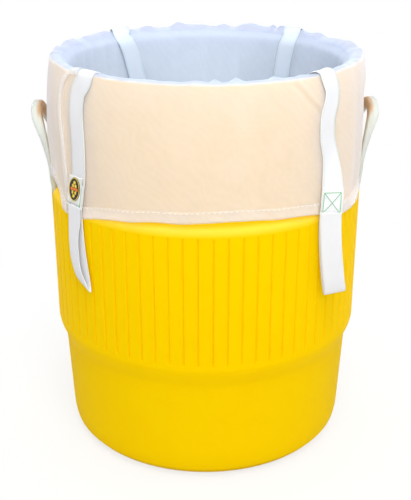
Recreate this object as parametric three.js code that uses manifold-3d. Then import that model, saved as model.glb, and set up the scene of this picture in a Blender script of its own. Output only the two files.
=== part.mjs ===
// A straining set: a round, double-walled insulated tub with a fluted body, two swing-up side
// handles and a rear drain tap, lined with a mesh strainer bag. The bag's mouth is folded out
// over the rim as a skirt, and it is carried by two long webbing straps that cross at its
// floor and end in four lifting loops.
//
// Millimetres, +Z up. The origin is the centre of the base, on the ground plane.
// The front is -Y, the right +X. Azimuth is in degrees from -Y towards +X.
import * as THREE from "three";
import { mergeVertices } from "three/addons/utils/BufferGeometryUtils.js";
import Module from "manifold-3d";

const wasm = await Module();
wasm.setup();

// ---------------------------------------------------------------- driving dimensions
const RIM_Z = 500.3; // top of the liner's lip
const BAND_R = 198.2; // fluted band
const BAND_LOW = 158;
const BAND_TOP = 332;
const NECK_R = 189.5; // plain neck above the band
const NECK_TOP = 493.4;
const WALL = 3; // shell and liner wall
const LINER_R_TOP = 170; // inside the liner
const LINER_R_LOW = 162.4;
const FOAM_GAP = 0.6; // foam to its neighbours
const PIN_GAP = 0.3; // radial play round the hinge rods and the lever pin

const SIDES = { right: 1, left: -1 };
const PIVOT_X = 188.8; // handle hinge line
const PIVOT_Z = 331;
const HINGE_R = 2;
const HINGE_HALF = 49; // half the rod's length
const ARM_IN = 36; // handle arms, half-distances along Y
const ARM_OUT = 46;

const WEB_W = 25; // strap webbing
const WEB_T = 1.2;

const TAP_Z = 60; // shank axis height
const TAP_Y = 206; // barrel axis
const TAP_HOLE_R = 10.8; // through shell and liner
const FILL_Y = -60; // foam filling hole in the base

// Facets of the turned parts
const OUTSIDE_FACETS = 72;
const INSIDE_FACETS = 36;
const BAG_FACETS = 36;
const BAG_PHASE = 180 / BAG_FACETS; // half a facet

// ---------------------------------------------------------------- helpers
const rad = THREE.MathUtils.degToRad;
const vectors = (points) => points.map(([x, y]) => new THREE.Vector2(x, y));
const shapeOf = (points) => new THREE.Shape(vectors(points));
const pathOf = (points) => new THREE.Path(vectors(points));

// An interval at +from..+to, or its mirror image on the negative side.
const spanOn = (side, from, to) => (side > 0 ? [from, to] : [-to, -from]);

// Points on an arc, both ends included; angles in degrees.
function arc(radius, [x, y], start, end, steps) {
  return Array.from({ length: steps + 1 }, (_, i) => {
    const angle = rad(start + ((end - start) * i) / steps);
    return [x + radius * Math.cos(angle), y + radius * Math.sin(angle)];
  });
}

// A profile of (radius, height) turned about Z. It may run either way round: it is
// reversed if need be, so that the faces point out of the material.
function lathe(profile, facets, phase = 0) {
  let area = 0;
  profile.forEach(([r0, z0], i) => {
    const [r1, z1] = profile[(i + 1) % profile.length];
    area += r0 * z1 - r1 * z0;
  });
  const points = area > 0 ? profile : [...profile].reverse();
  return new THREE.LatheGeometry(vectors(points), facets, rad(phase)).rotateX(Math.PI / 2);
}

// Closed rectangular section of a ring.
const ringProfile = ([inner, outer], [low, high]) => [
  [inner, low], [outer, low], [outer, high], [inner, high], [inner, low],
];

function box([x0, x1], [y0, y1], [z0, z1]) {
  return new THREE.BoxGeometry(x1 - x0, y1 - y0, z1 - z0).translate(
    (x0 + x1) / 2,
    (y0 + y1) / 2,
    (z0 + z1) / 2,
  );
}

// Cylinders along each axis, described by { radius, span, facets }; span is start and end.
const rod = ({ radius, span: [from, to], facets = 24 }) =>
  new THREE.CylinderGeometry(radius, radius, to - from, facets);
const middle = ({ span: [from, to] }) => (from + to) / 2;
const rodX = (part, y, z) => rod(part).rotateZ(Math.PI / 2).translate(middle(part), y, z);
const rodY = (part, x, z) => rod(part).translate(x, middle(part), z);
const rodZ = (part, x, y) => rod(part).rotateX(Math.PI / 2).translate(x, y, middle(part));

// Curve segments matter only to the oval badge.
const extrude = (shape, depth) =>
  new THREE.ExtrudeGeometry(shape, { depth, bevelEnabled: false, curveSegments: 6 });

const turned = (geometry, azimuth) => geometry.rotateZ(rad(azimuth));

// An outline of (radius, height) in the vertical plane at an azimuth, given a width across it.
function radial(points, width, azimuth, holes = []) {
  const shape = shapeOf(points);
  shape.holes.push(...holes.map(pathOf));
  // shape x -> -Y, shape y -> Z, depth -> -X
  const axes = new THREE.Matrix4().set(0, 0, -1, 0, -1, 0, 0, 0, 0, 1, 0, 0, 0, 0, 0, 1);
  const geometry = extrude(shape, width).translate(0, 0, -width / 2).applyMatrix4(axes);
  return turned(geometry, azimuth);
}

// A line offset along its normal: a line going up moves outwards, one going down inwards.
function offset(line, distance) {
  return line.map(([r, z], i) => {
    const [r0, z0] = line[Math.max(0, i - 1)];
    const [r1, z1] = line[Math.min(line.length - 1, i + 1)];
    const length = Math.hypot(r1 - r0, z1 - z0);
    return [r + ((z1 - z0) / length) * distance, z - ((r1 - r0) / length) * distance];
  });
}

// A closed geometry as a manifold-3d solid, without the triangles that merging collapses.
function solid(geometry) {
  const bare = geometry.index ? geometry.toNonIndexed() : geometry.clone();
  for (const name of Object.keys(bare.attributes)) {
    if (name !== "position") bare.deleteAttribute(name);
  }
  const merged = mergeVertices(bare, 1e-4);
  const triangles = [];
  for (let i = 0; i < merged.index.count; i += 3) {
    const [a, b, c] = [0, 1, 2].map((k) => merged.index.getX(i + k));
    if (a !== b && b !== c && a !== c) triangles.push(a, b, c);
  }
  return new wasm.Manifold(
    new wasm.Mesh({
      numProp: 3,
      vertProperties: merged.attributes.position.array,
      triVerts: new Uint32Array(triangles),
    }),
  );
}

// A manifold-3d solid back as a three.js geometry.
function geometryOf(manifold) {
  const { vertProperties, triVerts } = manifold.getMesh();
  const geometry = new THREE.BufferGeometry();
  const positions = new THREE.BufferAttribute(new Float32Array(vertProperties), 3);
  geometry.setAttribute("position", positions);
  geometry.setIndex(new THREE.BufferAttribute(new Uint32Array(triVerts), 1));
  geometry.computeVertexNormals();
  return geometry;
}

// ---------------------------------------------------------------- materials
const standard = (settings) => new THREE.MeshStandardMaterial(settings);
const MATERIALS = {
  shell: standard({ color: 0xffd000, roughness: 0.35 }),
  liner: standard({ color: 0xf4f4ef, roughness: 0.4 }),
  foam: standard({ color: 0xe9dcb0, roughness: 0.95 }),
  handle: standard({ color: 0xe9ebe2, roughness: 0.45 }),
  steel: standard({ color: 0xb9bcc0, roughness: 0.3, metalness: 1 }),
  mesh: standard({ color: 0xe9ebf5, roughness: 0.85 }),
  hem: standard({ color: 0xf2f0f6, roughness: 0.85 }),
  webbing: standard({ color: 0xf1f2f8, roughness: 0.8 }),
  thread: standard({ color: 0x7fc98a, roughness: 0.7 }),
  label: standard({ color: 0xf6f6f0, roughness: 0.8 }),
  badge: standard({ color: 0x23231f, roughness: 0.5 }),
  tap: standard({ color: 0xf1f1ec, roughness: 0.4 }),
  rubber: standard({ color: 0x3a3a3a, roughness: 0.8 }),
};

// ---------------------------------------------------------------- tub
// Tub profiles: (radius, height).
const SHELL_OUTER = [
  [0, 0], [163, 0], [175, 3.6], [182, 12], [184.3, 24], [189, 124],
  [190.6, 134], [194.4, 144], [197.4, 151], [BAND_R, BAND_LOW],
  [BAND_R, BAND_TOP], [196.6, 338], [192.8, 342.4], [NECK_R, 345],
  [NECK_R, NECK_TOP], [0, NECK_TOP],
];
// Runs past the neck so that the cut leaves it open.
const SHELL_INNER = [
  [0, 4.2], [160, 4.2], [172.6, 7], [181, 26], [186, 128],
  [BAND_R - WALL, 159], [BAND_R - WALL, 330.5],
  [NECK_R - WALL, 343.5], [NECK_R - WALL, NECK_TOP + 2], [0, NECK_TOP + 2],
];
const LINER_FLOOR = 25;
const LINER_UNDERSIDE = 21.6;
const LIP_R = 188.6;
const LIP_LOW = NECK_TOP + 0.7;
const LINER = [
  [0, LINER_FLOOR], [146, LINER_FLOOR], [157, 29], [LINER_R_LOW, 40],
  [LINER_R_TOP, 484], [LINER_R_TOP, 496], [173, RIM_Z], [186, RIM_Z],
  [LIP_R, 497.4], [LIP_R, LIP_LOW], [LINER_R_TOP + WALL, LIP_LOW],
  [LINER_R_LOW + WALL, 38], [158, 25], [147, LINER_UNDERSIDE], [0, LINER_UNDERSIDE],
];
const FOAM_TOP = NECK_TOP - 0.4;
const FOAM_NECK_R = NECK_R - WALL - 0.5;
const FOAM_BAND_R = BAND_R - WALL - FOAM_GAP;
const FOAM = [
  [0, 21.1], [147, 21.1], [158.6, 24.4],
  [LINER_R_LOW + WALL + FOAM_GAP, 38], [LINER_R_TOP + WALL + FOAM_GAP, FOAM_TOP],
  [FOAM_NECK_R, FOAM_TOP], [FOAM_NECK_R, 343],
  [FOAM_BAND_R, 330], [FOAM_BAND_R, 159.6],
  [185.3, 128.4], [180.2, 26.6], [171.8, 7.6], [159.6, 4.9], [0, 4.9],
];
const PLUG = [
  [0, 0.4], [12.2, 0.4], [12.6, 1.4], [8, 1.4], [8, 4], [7.4, 4.5], [0, 4.5],
];
const FILL_HOLE = { radius: 8.4, span: [-5, 12], facets: 20 };
const FILL_RECESS = { radius: 13.2, span: [-5, 1.7], facets: 20 };

// Hinge bosses, and the slots the handle arms stand in
const BOSS = { inner: 178.5, outer: 205, halfWidth: 52, low: 304, top: 352 };
const SLOT = { depth: 4.8, outer: 210, sideGap: 0.6, low: 311, top: 346 };

const FLUTES = 72; // one groove every 5 degrees, the lands between them flat
const FLUTE_LOW = 168.2;
const FLUTE_TOP = 330.5;
const SHORT_FLUTE_TOP = FLUTE_TOP - 31; // next to the hinge bosses
const SHORT_WITHIN = 17; // degrees either side of a handle's azimuth
const FLUTE_W = 3.2;
const FLUTE_DEEP = 1.7;
const FLUTE_OUT = 1.5; // how far the cutter stands out of the band
const FLUTE_RAMP = 2.4; // half the height of a ramped end

const tapBore = (radius) => solid(rodY({ radius, span: [120, 230] }, 0, TAP_Z));

function bossBlock(side, grow = 0) {
  const x = spanOn(side, BOSS.inner - grow, BOSS.outer);
  const halfWidth = BOSS.halfWidth + grow;
  return solid(box(x, [-halfWidth, halfWidth], [BOSS.low - grow, BOSS.top + grow]));
}

function armSlot(side, arm) {
  const x = spanOn(side, PIVOT_X - SLOT.depth, SLOT.outer);
  const y = spanOn(arm, ARM_IN - SLOT.sideGap, ARM_OUT + SLOT.sideGap);
  return solid(box(x, y, [SLOT.low, SLOT.top]));
}

// Cutter for one straight groove with ramped ends.
function flute(azimuth) {
  const fromHandle = Math.min(Math.abs(azimuth - 90), Math.abs(azimuth - 270));
  const top = fromHandle < SHORT_WITHIN ? SHORT_FLUTE_TOP : FLUTE_TOP;
  const outline = [
    [BAND_R + FLUTE_OUT, FLUTE_LOW - FLUTE_RAMP],
    [BAND_R + FLUTE_OUT, top + FLUTE_RAMP],
    [BAND_R - FLUTE_DEEP, top - FLUTE_RAMP],
    [BAND_R - FLUTE_DEEP, FLUTE_LOW + FLUTE_RAMP],
  ];
  return solid(radial(outline, FLUTE_W, azimuth));
}

function outerShell() {
  const envelope = solid(lathe(SHELL_OUTER, OUTSIDE_FACETS));
  let shell = envelope.subtract(solid(lathe(SHELL_INNER, INSIDE_FACETS)));
  const end = HINGE_HALF + 0.5;
  const hingeHole = { radius: HINGE_R + PIN_GAP, span: [-end, end], facets: 16 };
  for (const side of Object.values(SIDES)) {
    shell = shell.add(bossBlock(side).intersect(envelope));
    for (const arm of [1, -1]) shell = shell.subtract(armSlot(side, arm));
    shell = shell.subtract(solid(rodY(hingeHole, side * PIVOT_X, PIVOT_Z)));
  }
  const flutes = Array.from({ length: FLUTES }, (_, i) => flute(i * (360 / FLUTES)));
  return shell
    .subtract(wasm.Manifold.union(flutes))
    .subtract(tapBore(TAP_HOLE_R))
    .subtract(solid(rodZ(FILL_HOLE, 0, FILL_Y)))
    .subtract(solid(rodZ(FILL_RECESS, 0, FILL_Y)));
}

const innerLiner = () => solid(lathe(LINER, INSIDE_FACETS)).subtract(tapBore(TAP_HOLE_R));

function insulationFoam() {
  let foam = solid(lathe(FOAM, INSIDE_FACETS)).subtract(tapBore(TAP_HOLE_R + FOAM_GAP));
  for (const side of Object.values(SIDES)) foam = foam.subtract(bossBlock(side, FOAM_GAP));
  return foam;
}

// Push-in plug that closes the foam filling hole.
const fillPlug = () => lathe(PLUG, 20).translate(0, FILL_Y, 0);

// ---------------------------------------------------------------- handles
// Section of the bowed handle: height above the hinge, inner face and outer face (distances
// outwards from the hinge line).
const BOW = [
  [10, -1.3, 5], [20, 0.7, 6.2], [39, 2.2, 7.7],
  [55, 4.6, 10.9], [72, 6.6, 14.8], [84, 8.2, 19.2],
  [95, 10.6, 23.2], [104, 12.6, 25], [111, 13.4, 24.6],
];
const FOOT_R = 3.7;
const ARM_LOW = -6; // bottom of the U outline, past the foot
const GRIP_TOP = 109.8; // above the hinge line
const GRIP_LOW = 97.6;
const CORNER_OUT = 38; // corner radii of the U
const CORNER_IN = 28;

// The X-Z section, extruded along Y.
function bowBlock() {
  const outer = BOW.map(([height, , face]) => [face, height]);
  const inner = BOW.map(([height, face]) => [face, height]).reverse();
  const section = shapeOf([...arc(FOOT_R, [0, 0], -160, -20, 4), ...outer, ...inner]);
  const halfWidth = ARM_OUT + 2;
  return extrude(section, 2 * halfWidth).rotateX(Math.PI / 2).translate(0, halfWidth, 0);
}

// The U in the Y-Z plane, extruded along X.
function uBlock() {
  const outY = ARM_OUT - CORNER_OUT;
  const outZ = GRIP_TOP - CORNER_OUT;
  const inY = ARM_IN - CORNER_IN;
  const inZ = GRIP_LOW - CORNER_IN;
  const outline = shapeOf([
    [ARM_OUT, ARM_LOW],
    ...arc(CORNER_OUT, [outY, outZ], 0, 90, 7),
    ...arc(CORNER_OUT, [-outY, outZ], 90, 180, 7),
    [-ARM_OUT, ARM_LOW],
    [-ARM_IN, ARM_LOW],
    ...arc(CORNER_IN, [-inY, inZ], 180, 90, 6),
    ...arc(CORNER_IN, [inY, inZ], 90, 0, 6),
    [ARM_IN, ARM_LOW],
  ]);
  // shape x -> Y, shape y -> Z, depth -> X
  const axes = new THREE.Matrix4().set(0, 0, 1, 0, 1, 0, 0, 0, 0, 1, 0, 0, 0, 0, 0, 1);
  return extrude(outline, 60).applyMatrix4(axes).translate(-20, 0, 0);
}

// A U, bowed outwards and thickening on the way up: where the two blocks meet.
function handle(side) {
  const hingeHole = { radius: HINGE_R + PIN_GAP, span: [-60, 60], facets: 16 };
  const right = solid(bowBlock())
    .intersect(solid(uBlock()))
    .subtract(solid(rodY(hingeHole, 0, 0)))
    .translate([PIVOT_X, 0, PIVOT_Z]);
  return side > 0 ? right : right.rotate([0, 0, 180]);
}

function hingeRod(side) {
  const part = { radius: HINGE_R, span: [-HINGE_HALF, HINGE_HALF], facets: 16 };
  return rodY(part, side * PIVOT_X, PIVOT_Z);
}

// ---------------------------------------------------------------- strainer bag
const CLOTH = 0.9; // thickness
const HEM_Z = [346, 356];
const HEM_R = [191.4, 192.7];
const BINDING_Z = [31.8, 35.2];
const BINDING_R = [145.2, 147.2];
// The face of the cloth that shows, (radius, height): up the skirt, over the rim, down inside.
const SKIRT = [
  [192.9, HEM_Z[1] + 0.4], [194, 370], [196.3, 390], [197.4, 415],
  [195.4, 462], [192.6, 488], [191.4, 497],
];
const CREST = [[188, 502.2], [180, 503.4], [171, 502.2]];
const SLEEVE = [[167.4, 497], [158, 250], [147, 70], [145, 36]];
// Shallow dish, (radius, height).
const BAG_FLOOR = [
  [0, 28.8], [138, 28.8], [144.2, 31.5], [144.2, 35.2],
  [143.2, 35.2], [143.2, 32.2], [137.6, 29.8], [0, 29.8],
];

const bagLathe = (profile) => lathe(profile, BAG_FACETS, BAG_PHASE);

function bagWall() {
  const face = [...SKIRT, ...CREST, ...SLEEVE];
  const back = offset(face, -CLOTH);
  return bagLathe([...back, ...face.reverse(), back[0]]);
}

// ---------------------------------------------------------------- straps
// Azimuths of the four strap ends
const ENDS = { front_left: -50, front_right: 46, rear_right: 139, rear_left: -152 };
// lift: how far the strap is raised where the two cross
const STRAPS = {
  a: { ends: [ENDS.front_left, ENDS.rear_right], lift: 0 },
  b: { ends: [ENDS.front_right, ENDS.rear_left], lift: 2.2 },
};
const STRAP_FLOOR = 31; // underside of the lower strap
const STRAP_LOW = [[194.4, 347], [194.6, 358]]; // over the hem
// Cloth line under the strap, (radius, height)
const STRAP_PATH = [
  ...STRAP_LOW, ...SKIRT.slice(1), ...CREST, ...SLEEVE.slice(0, 3), [145, 44],
];
// Path points up to the middle of the crest
const OUTSIDE_POINTS = STRAP_LOW.length + (SKIRT.length - 1) + 2;
// Inside the bag the cloth curls round the flat webbing, so the strap stands off more.
const CLEAR_OUTSIDE = 0.6;
const CLEAR_INSIDE = 1.5;

function strapFace(height) {
  const outside = offset(STRAP_PATH, CLEAR_OUTSIDE + height);
  const inside = offset(STRAP_PATH, CLEAR_INSIDE + height);
  return outside.map((point, i) => (i < OUTSIDE_POINTS ? point : inside[i]));
}

// Up the skirt from one end, over the rim, down inside, across the floor and out again.
function slingStrap({ ends, lift }) {
  const low = STRAP_FLOOR + lift;
  const top = low + WEB_T;
  const under = [...strapFace(0), [134, low], [0, low]];
  const over = [...strapFace(WEB_T), [133, top], [0, top]];
  const outline = [...under, ...over.reverse()];
  const [first, second] = ends.map((azimuth) => solid(radial(outline, WEB_W, azimuth)));
  const centre = { radius: WEB_W / 2, span: [low, top], facets: 20 };
  return first.add(second).add(solid(rodZ(centre, 0, 0)));
}

// ---------------------------------------------------------------- tabs, loops and label
// Inner face of a tab, (radius, height), bottom and top
const TAB_LINE = [[196.7, 345.2], [199.1, 377]];
const [[TAB_LOW_R, TAB_LOW], [TAB_TOP_R, TAB_TOP]] = TAB_LINE;
const TAB_T = 1.8;
const TAB_LEAN = Math.atan2(TAB_TOP_R - TAB_LOW_R, TAB_TOP - TAB_LOW);

// Sewn pieces: half-width, half-height, thickness, gap off the tab, height of the centre
const STITCH = { halfW: 9.8, halfH: 13.2, thick: 0.4, gap: 0.35, z: 360.8 };
const STITCH_LINE = 1.1; // width of a stitch line
const LABEL = { halfW: 11.8, halfH: 16, thick: 0.6, gap: 1.2, z: 364 };
const BADGE = { halfW: 10.6, halfH: 14.6, thick: 0.7, gap: 2.2, z: 364.4 };

const LOOP_HINGE_R = 197.8;
const LOOP_HINGE_Z = 341.6;
// Lifting loop, (outwards, up) from its hinge: the outline and the opening through it
const LOOP_OUTLINE = [
  [-1.3, 1], [0.6, 1.4], [2.2, 0.4], [6.4, -14], [8.6, -45], [9.4, -90], [8.2, -112],
  [5.8, -117], [3.4, -113], [2.6, -90], [2.8, -45], [2.6, -14], [-0.6, -2.4], [-1.8, -0.6],
];
const LOOP_OPENING = [
  [4.6, -18], [4.3, -45], [4.1, -90], [4.7, -111], [5.8, -114.2],
  [6.9, -111], [7.8, -90], [7, -45], [5.6, -18],
];

const loopTab = (azimuth) =>
  radial([...TAB_LINE, ...offset(TAB_LINE, TAB_T).reverse()], WEB_W, azimuth);

// Lays a flat shape on the outer face of the tab at an azimuth.
function sewnOn(shape, { thick, gap, z }, azimuth) {
  const faceR = TAB_LOW_R + (z - TAB_LOW) * Math.tan(TAB_LEAN);
  const radius = faceR + (TAB_T + gap) / Math.cos(TAB_LEAN);
  // shape y -> Z, depth -> -Y, which is outwards at azimuth 0
  const upright = extrude(shape, thick).rotateX(Math.PI / 2);
  return turned(upright.rotateX(TAB_LEAN).translate(0, -radius, z), azimuth);
}

const rectangle = ({ halfW, halfH }) =>
  shapeOf([[-halfW, -halfH], [halfW, -halfH], [halfW, halfH], [-halfW, halfH]]);

// Box-and-cross stitching: a rectangle with four triangles left open.
function boxStitch(azimuth) {
  const { halfW, halfH } = STITCH;
  const lattice = rectangle(STITCH);
  const margin = STITCH_LINE * 0.75;
  const tipX = margin * 1.1;
  const tipZ = margin * 1.4;
  const endX = halfW - 2.4 * margin;
  const endZ = halfH - 3 * margin;
  const edgeX = halfW - STITCH_LINE;
  const edgeZ = halfH - STITCH_LINE;
  for (const sign of [1, -1]) {
    lattice.holes.push(
      pathOf([[-endX, sign * edgeZ], [endX, sign * edgeZ], [0, sign * tipZ]]),
    );
  }
  for (const sign of [-1, 1]) {
    lattice.holes.push(
      pathOf([[sign * edgeX, endZ], [sign * edgeX, -endZ], [sign * tipX, 0]]),
    );
  }
  return sewnOn(lattice, STITCH, azimuth);
}

// A folded length of webbing, hanging from the foot of the tab.
function liftingLoop(azimuth) {
  const [outline, opening] = [LOOP_OUTLINE, LOOP_OPENING].map((points) =>
    points.map(([out, up]) => [LOOP_HINGE_R + out, LOOP_HINGE_Z + up]),
  );
  return radial(outline, WEB_W, azimuth, [opening]);
}

function ovalBadge() {
  const oval = new THREE.Shape();
  oval.absellipse(0, 0, BADGE.halfW, BADGE.halfH, 0, Math.PI * 2, false, 0);
  return sewnOn(oval, BADGE, ENDS.front_left);
}

// ---------------------------------------------------------------- drain tap
// Parts round the shank axis, spans along Y
const SHANK = { radius: 10, span: [149, 195], facets: 20 };
const FLANGE = { radius: 17, span: [189.4, 193.6] };
const SHANK_BORE = { radius: 6.2, span: [140, TAP_Y], facets: 16 };
const NUT = { radius: 15.5, span: [151.2, 158.6], facets: 6 };
const NUT_BORE = { radius: 10.4, span: [140, 170] };
const OUTER_WASHER = { radii: [10.5, 15.5], span: [186.9, 189.1] };
const INNER_WASHER = { radii: [10.5, 14.5], span: [158.9, 161.2] };
// Parts round the barrel axis, spans along Z
const BARREL = { radius: 12, span: [42, 78] };
const SPOUT = { radius: 8.6, span: [24, 44], facets: 20 };
const SPOUT_BORE = { radius: 6.2, span: [10, 60], facets: 16 };
const BARREL_BORE = { radius: 9.4, span: [50, 90], facets: 20 };
const BONNET = { radius: 13.6, span: [78.4, 86], facets: 28 };
const STEM_HOLE = { radius: 2.7, span: [70, 90], facets: 16 };
const SEAL = { radii: [2.3, 8.4], span: [50.5, 56.2] };
// Stem with a flange near its foot and a head on top, (radius, height)
const STEM = [
  [0, 51.5], [1.9, 51.5], [1.9, 56.6], [6.6, 56.6], [6.6, 58.2], [2.1, 58.2],
  [2.1, 93.4], [5.2, 93.4], [5.2, 95.2], [3.6, 96.8], [0, 96.8],
];
// Lever and its pin; spans along X
const PIN_Y = TAP_Y + 9;
const PIN_Z = 91;
const PIN = { radius: 1.5, span: [-8.4, 8.4], facets: 12 };
const PIN_HOLE = { radius: PIN.radius + PIN_GAP, span: [-10, 10], facets: 12 };
const HUB = { radius: 3.2, span: [-4.6, 4.6], facets: 16 };
const EAR = { inner: 5.2, outer: 7.8, halfDepth: 4, span: [85, 95] };
const LEVER_T = 3;
// Fork and paddle, (x, distance behind the barrel axis)
const LEVER = [
  [-4.6, -2.4], [-3.1, -2.4], [-3.1, 3.6], [3.1, 3.6], [3.1, -2.4], [4.6, -2.4],
  [4.6, 16], [8.5, 23], [8.5, 37], [5, 42],
  [-5, 42], [-8.5, 37], [-8.5, 23], [-4.6, 16],
];
const SPRING = { radius: 4.4, wireR: 0.55, low: 59.4, top: 77.2, turns: 4, steps: 36 };

const onShank = (part) => solid(rodY(part, 0, TAP_Z));
const onBarrel = (part) => solid(rodZ(part, 0, TAP_Y));
const onPin = (part) => solid(rodX(part, PIN_Y, PIN_Z));

function tapBody() {
  return onShank(SHANK)
    .add(onShank(FLANGE))
    .add(onBarrel(BARREL))
    .add(onBarrel(SPOUT))
    .subtract(onShank(SHANK_BORE))
    .subtract(onBarrel(SPOUT_BORE))
    .subtract(onBarrel(BARREL_BORE));
}

// LatheGeometry turns about Y, the way the shank lies.
function tapWasher({ radii, span }) {
  const profile = vectors(ringProfile(radii, span));
  return new THREE.LatheGeometry(profile, 20).translate(0, 0, TAP_Z);
}

// Cap with two ears for the lever pin.
function tapBonnet() {
  const earY = [PIN_Y - EAR.halfDepth, PIN_Y + EAR.halfDepth];
  const ear = (side) => solid(box(spanOn(side, EAR.inner, EAR.outer), earY, EAR.span));
  return onBarrel(BONNET)
    .add(ear(1))
    .add(ear(-1))
    .subtract(onBarrel(STEM_HOLE))
    .subtract(onPin(PIN_HOLE));
}

// A fork that lifts the stem's head, and a paddle to press.
function tapLever() {
  const plate = extrude(shapeOf(LEVER), LEVER_T).translate(0, TAP_Y, PIN_Z - LEVER_T / 2);
  return solid(plate).add(onPin(HUB)).subtract(onPin(PIN_HOLE));
}

class SpringPath extends THREE.Curve {
  getPoint(t, target = new THREE.Vector3()) {
    const { radius, low, top, turns } = SPRING;
    const angle = t * turns * Math.PI * 2;
    const z = low + (top - low) * t;
    return target.set(radius * Math.cos(angle), radius * Math.sin(angle), z);
  }
}

// Closing spring between the stem's flange and the bonnet, of five-sided wire.
function tapSpring() {
  return new THREE.ExtrudeGeometry(shapeOf(arc(SPRING.wireR, [0, 0], 0, 288, 4)), {
    steps: SPRING.steps,
    bevelEnabled: false,
    extrudePath: new SpringPath(),
  }).translate(0, TAP_Y, 0);
}

// ---------------------------------------------------------------- assembly
const model = new THREE.Group();
model.name = "strainer_set";
function add(name, geometry, material) {
  const mesh = new THREE.Mesh(geometry, material);
  mesh.name = name;
  model.add(mesh);
}
const addSolid = (name, manifold, material) => add(name, geometryOf(manifold), material);

addSolid("outer_shell", outerShell(), MATERIALS.shell);
addSolid("inner_liner", innerLiner(), MATERIALS.liner);
addSolid("insulation_foam", insulationFoam(), MATERIALS.foam);
add("base_fill_plug", fillPlug(), MATERIALS.tap);

for (const [name, side] of Object.entries(SIDES)) {
  addSolid("handle_" + name, handle(side), MATERIALS.handle);
}
for (const [name, side] of Object.entries(SIDES)) {
  add("handle_hinge_rod_" + name, hingeRod(side), MATERIALS.steel);
}

add("strainer_bag_wall", bagWall(), MATERIALS.mesh);
add("strainer_bag_floor", bagLathe(BAG_FLOOR), MATERIALS.mesh);
add("floor_seam_binding", bagLathe(ringProfile(BINDING_R, BINDING_Z)), MATERIALS.hem);
add("skirt_hem", bagLathe(ringProfile(HEM_R, HEM_Z)), MATERIALS.hem);

for (const [name, strap] of Object.entries(STRAPS)) {
  addSolid("sling_strap_" + name, slingStrap(strap), MATERIALS.webbing);
}
for (const [name, azimuth] of Object.entries(ENDS)) {
  add("loop_tab_" + name, loopTab(azimuth), MATERIALS.webbing);
  add("box_stitch_" + name, boxStitch(azimuth), MATERIALS.thread);
  add("lifting_loop_" + name, liftingLoop(azimuth), MATERIALS.webbing);
}
add("label_patch", sewnOn(rectangle(LABEL), LABEL, ENDS.front_left), MATERIALS.label);
add("oval_badge", ovalBadge(), MATERIALS.badge);

addSolid("tap_body", tapBody(), MATERIALS.tap);
add("tap_outer_washer", tapWasher(OUTER_WASHER), MATERIALS.rubber);
add("tap_inner_washer", tapWasher(INNER_WASHER), MATERIALS.rubber);
addSolid("tap_back_nut", onShank(NUT).subtract(onShank(NUT_BORE)), MATERIALS.tap);
addSolid("tap_bonnet", tapBonnet(), MATERIALS.tap);
add("tap_lever_pin", rodX(PIN, PIN_Y, PIN_Z), MATERIALS.steel);
addSolid("tap_lever", tapLever(), MATERIALS.tap);
add("tap_stem", lathe(STEM, 16).translate(0, TAP_Y, 0), MATERIALS.tap);
const seal = lathe(ringProfile(SEAL.radii, SEAL.span), 20);
add("tap_seal", seal.translate(0, TAP_Y, 0), MATERIALS.rubber);
add("tap_spring", tapSpring(), MATERIALS.steel);

export default model;
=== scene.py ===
# A round insulated tub with two swinging carry handles, a tap and a mesh strainer bag that
# folds over its rim and has four webbing lifting loops.
# The tub stands on z = 0 with its axis on Z. The front faces -Y, +X is the right, the tap is at
# the back (+Y) and the handles hang on the two X sides. Lengths are in mm unless a name or
# comment says metres; azimuths are in degrees from -Y towards +X.
import math

import bmesh
import bpy
import numpy as np
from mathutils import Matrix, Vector


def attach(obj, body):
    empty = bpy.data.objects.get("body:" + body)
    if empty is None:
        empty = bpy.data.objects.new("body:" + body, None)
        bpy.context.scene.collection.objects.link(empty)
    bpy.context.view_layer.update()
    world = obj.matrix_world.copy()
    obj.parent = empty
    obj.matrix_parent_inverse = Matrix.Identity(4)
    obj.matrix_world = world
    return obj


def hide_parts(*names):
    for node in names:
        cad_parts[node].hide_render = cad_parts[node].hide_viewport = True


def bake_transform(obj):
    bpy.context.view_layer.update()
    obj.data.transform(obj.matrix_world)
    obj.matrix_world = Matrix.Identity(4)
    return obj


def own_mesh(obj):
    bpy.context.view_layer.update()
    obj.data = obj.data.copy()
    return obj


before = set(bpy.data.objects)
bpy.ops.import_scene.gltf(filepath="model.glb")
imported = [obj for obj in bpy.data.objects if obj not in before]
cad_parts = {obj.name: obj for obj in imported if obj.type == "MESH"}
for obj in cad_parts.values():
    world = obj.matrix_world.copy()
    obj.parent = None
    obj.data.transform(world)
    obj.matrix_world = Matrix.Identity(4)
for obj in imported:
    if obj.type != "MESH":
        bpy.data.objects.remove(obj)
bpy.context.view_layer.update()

RNG = np.random.default_rng(7)
MM = 0.001
TAU = 2 * math.pi

# Driving dimensions
BAND_R = 198.2  # radius of the grooved band
PIVOT_R, PIVOT_Z = 188.8, 331.0  # handle hinge axis
ARM_Y = 41.0  # each handle arm stands this far from the X axis
PORT_Z = 60  # height of the tap hole
FOLD_Z = 497.0  # the bag starts to turn over the rim here


# ------------------------------------------------------------------ numbers and curves
def cosd(degrees):
    return np.cos(np.deg2rad(degrees))


def sind(degrees):
    return np.sin(np.deg2rad(degrees))


def polar(azimuth, radius, z):
    """Points from azimuth, radius and height."""
    values = (np.asarray(v, float) for v in (azimuth, radius, z))
    azimuth, radius, z = np.broadcast_arrays(*values)
    return np.stack([radius * sind(azimuth), -radius * cosd(azimuth), z], -1)


def outward(azimuth):
    return polar(azimuth, 1, 0)


def tangent(azimuth):
    """Unit vector round the axis, towards rising azimuth."""
    return polar(np.asarray(azimuth) + 90, 1, 0)


def unit(vectors):
    return vectors / (np.linalg.norm(vectors, axis=-1, keepdims=True) + 1e-12)


def smooth_step(start, end, x):
    t = np.clip((np.asarray(x, float) - start) / (end - start), 0, 1)
    return t * t * (3 - 2 * t)


def wrap_degrees(angle):
    return (np.asarray(angle, float) + 180) % 360 - 180


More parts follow.
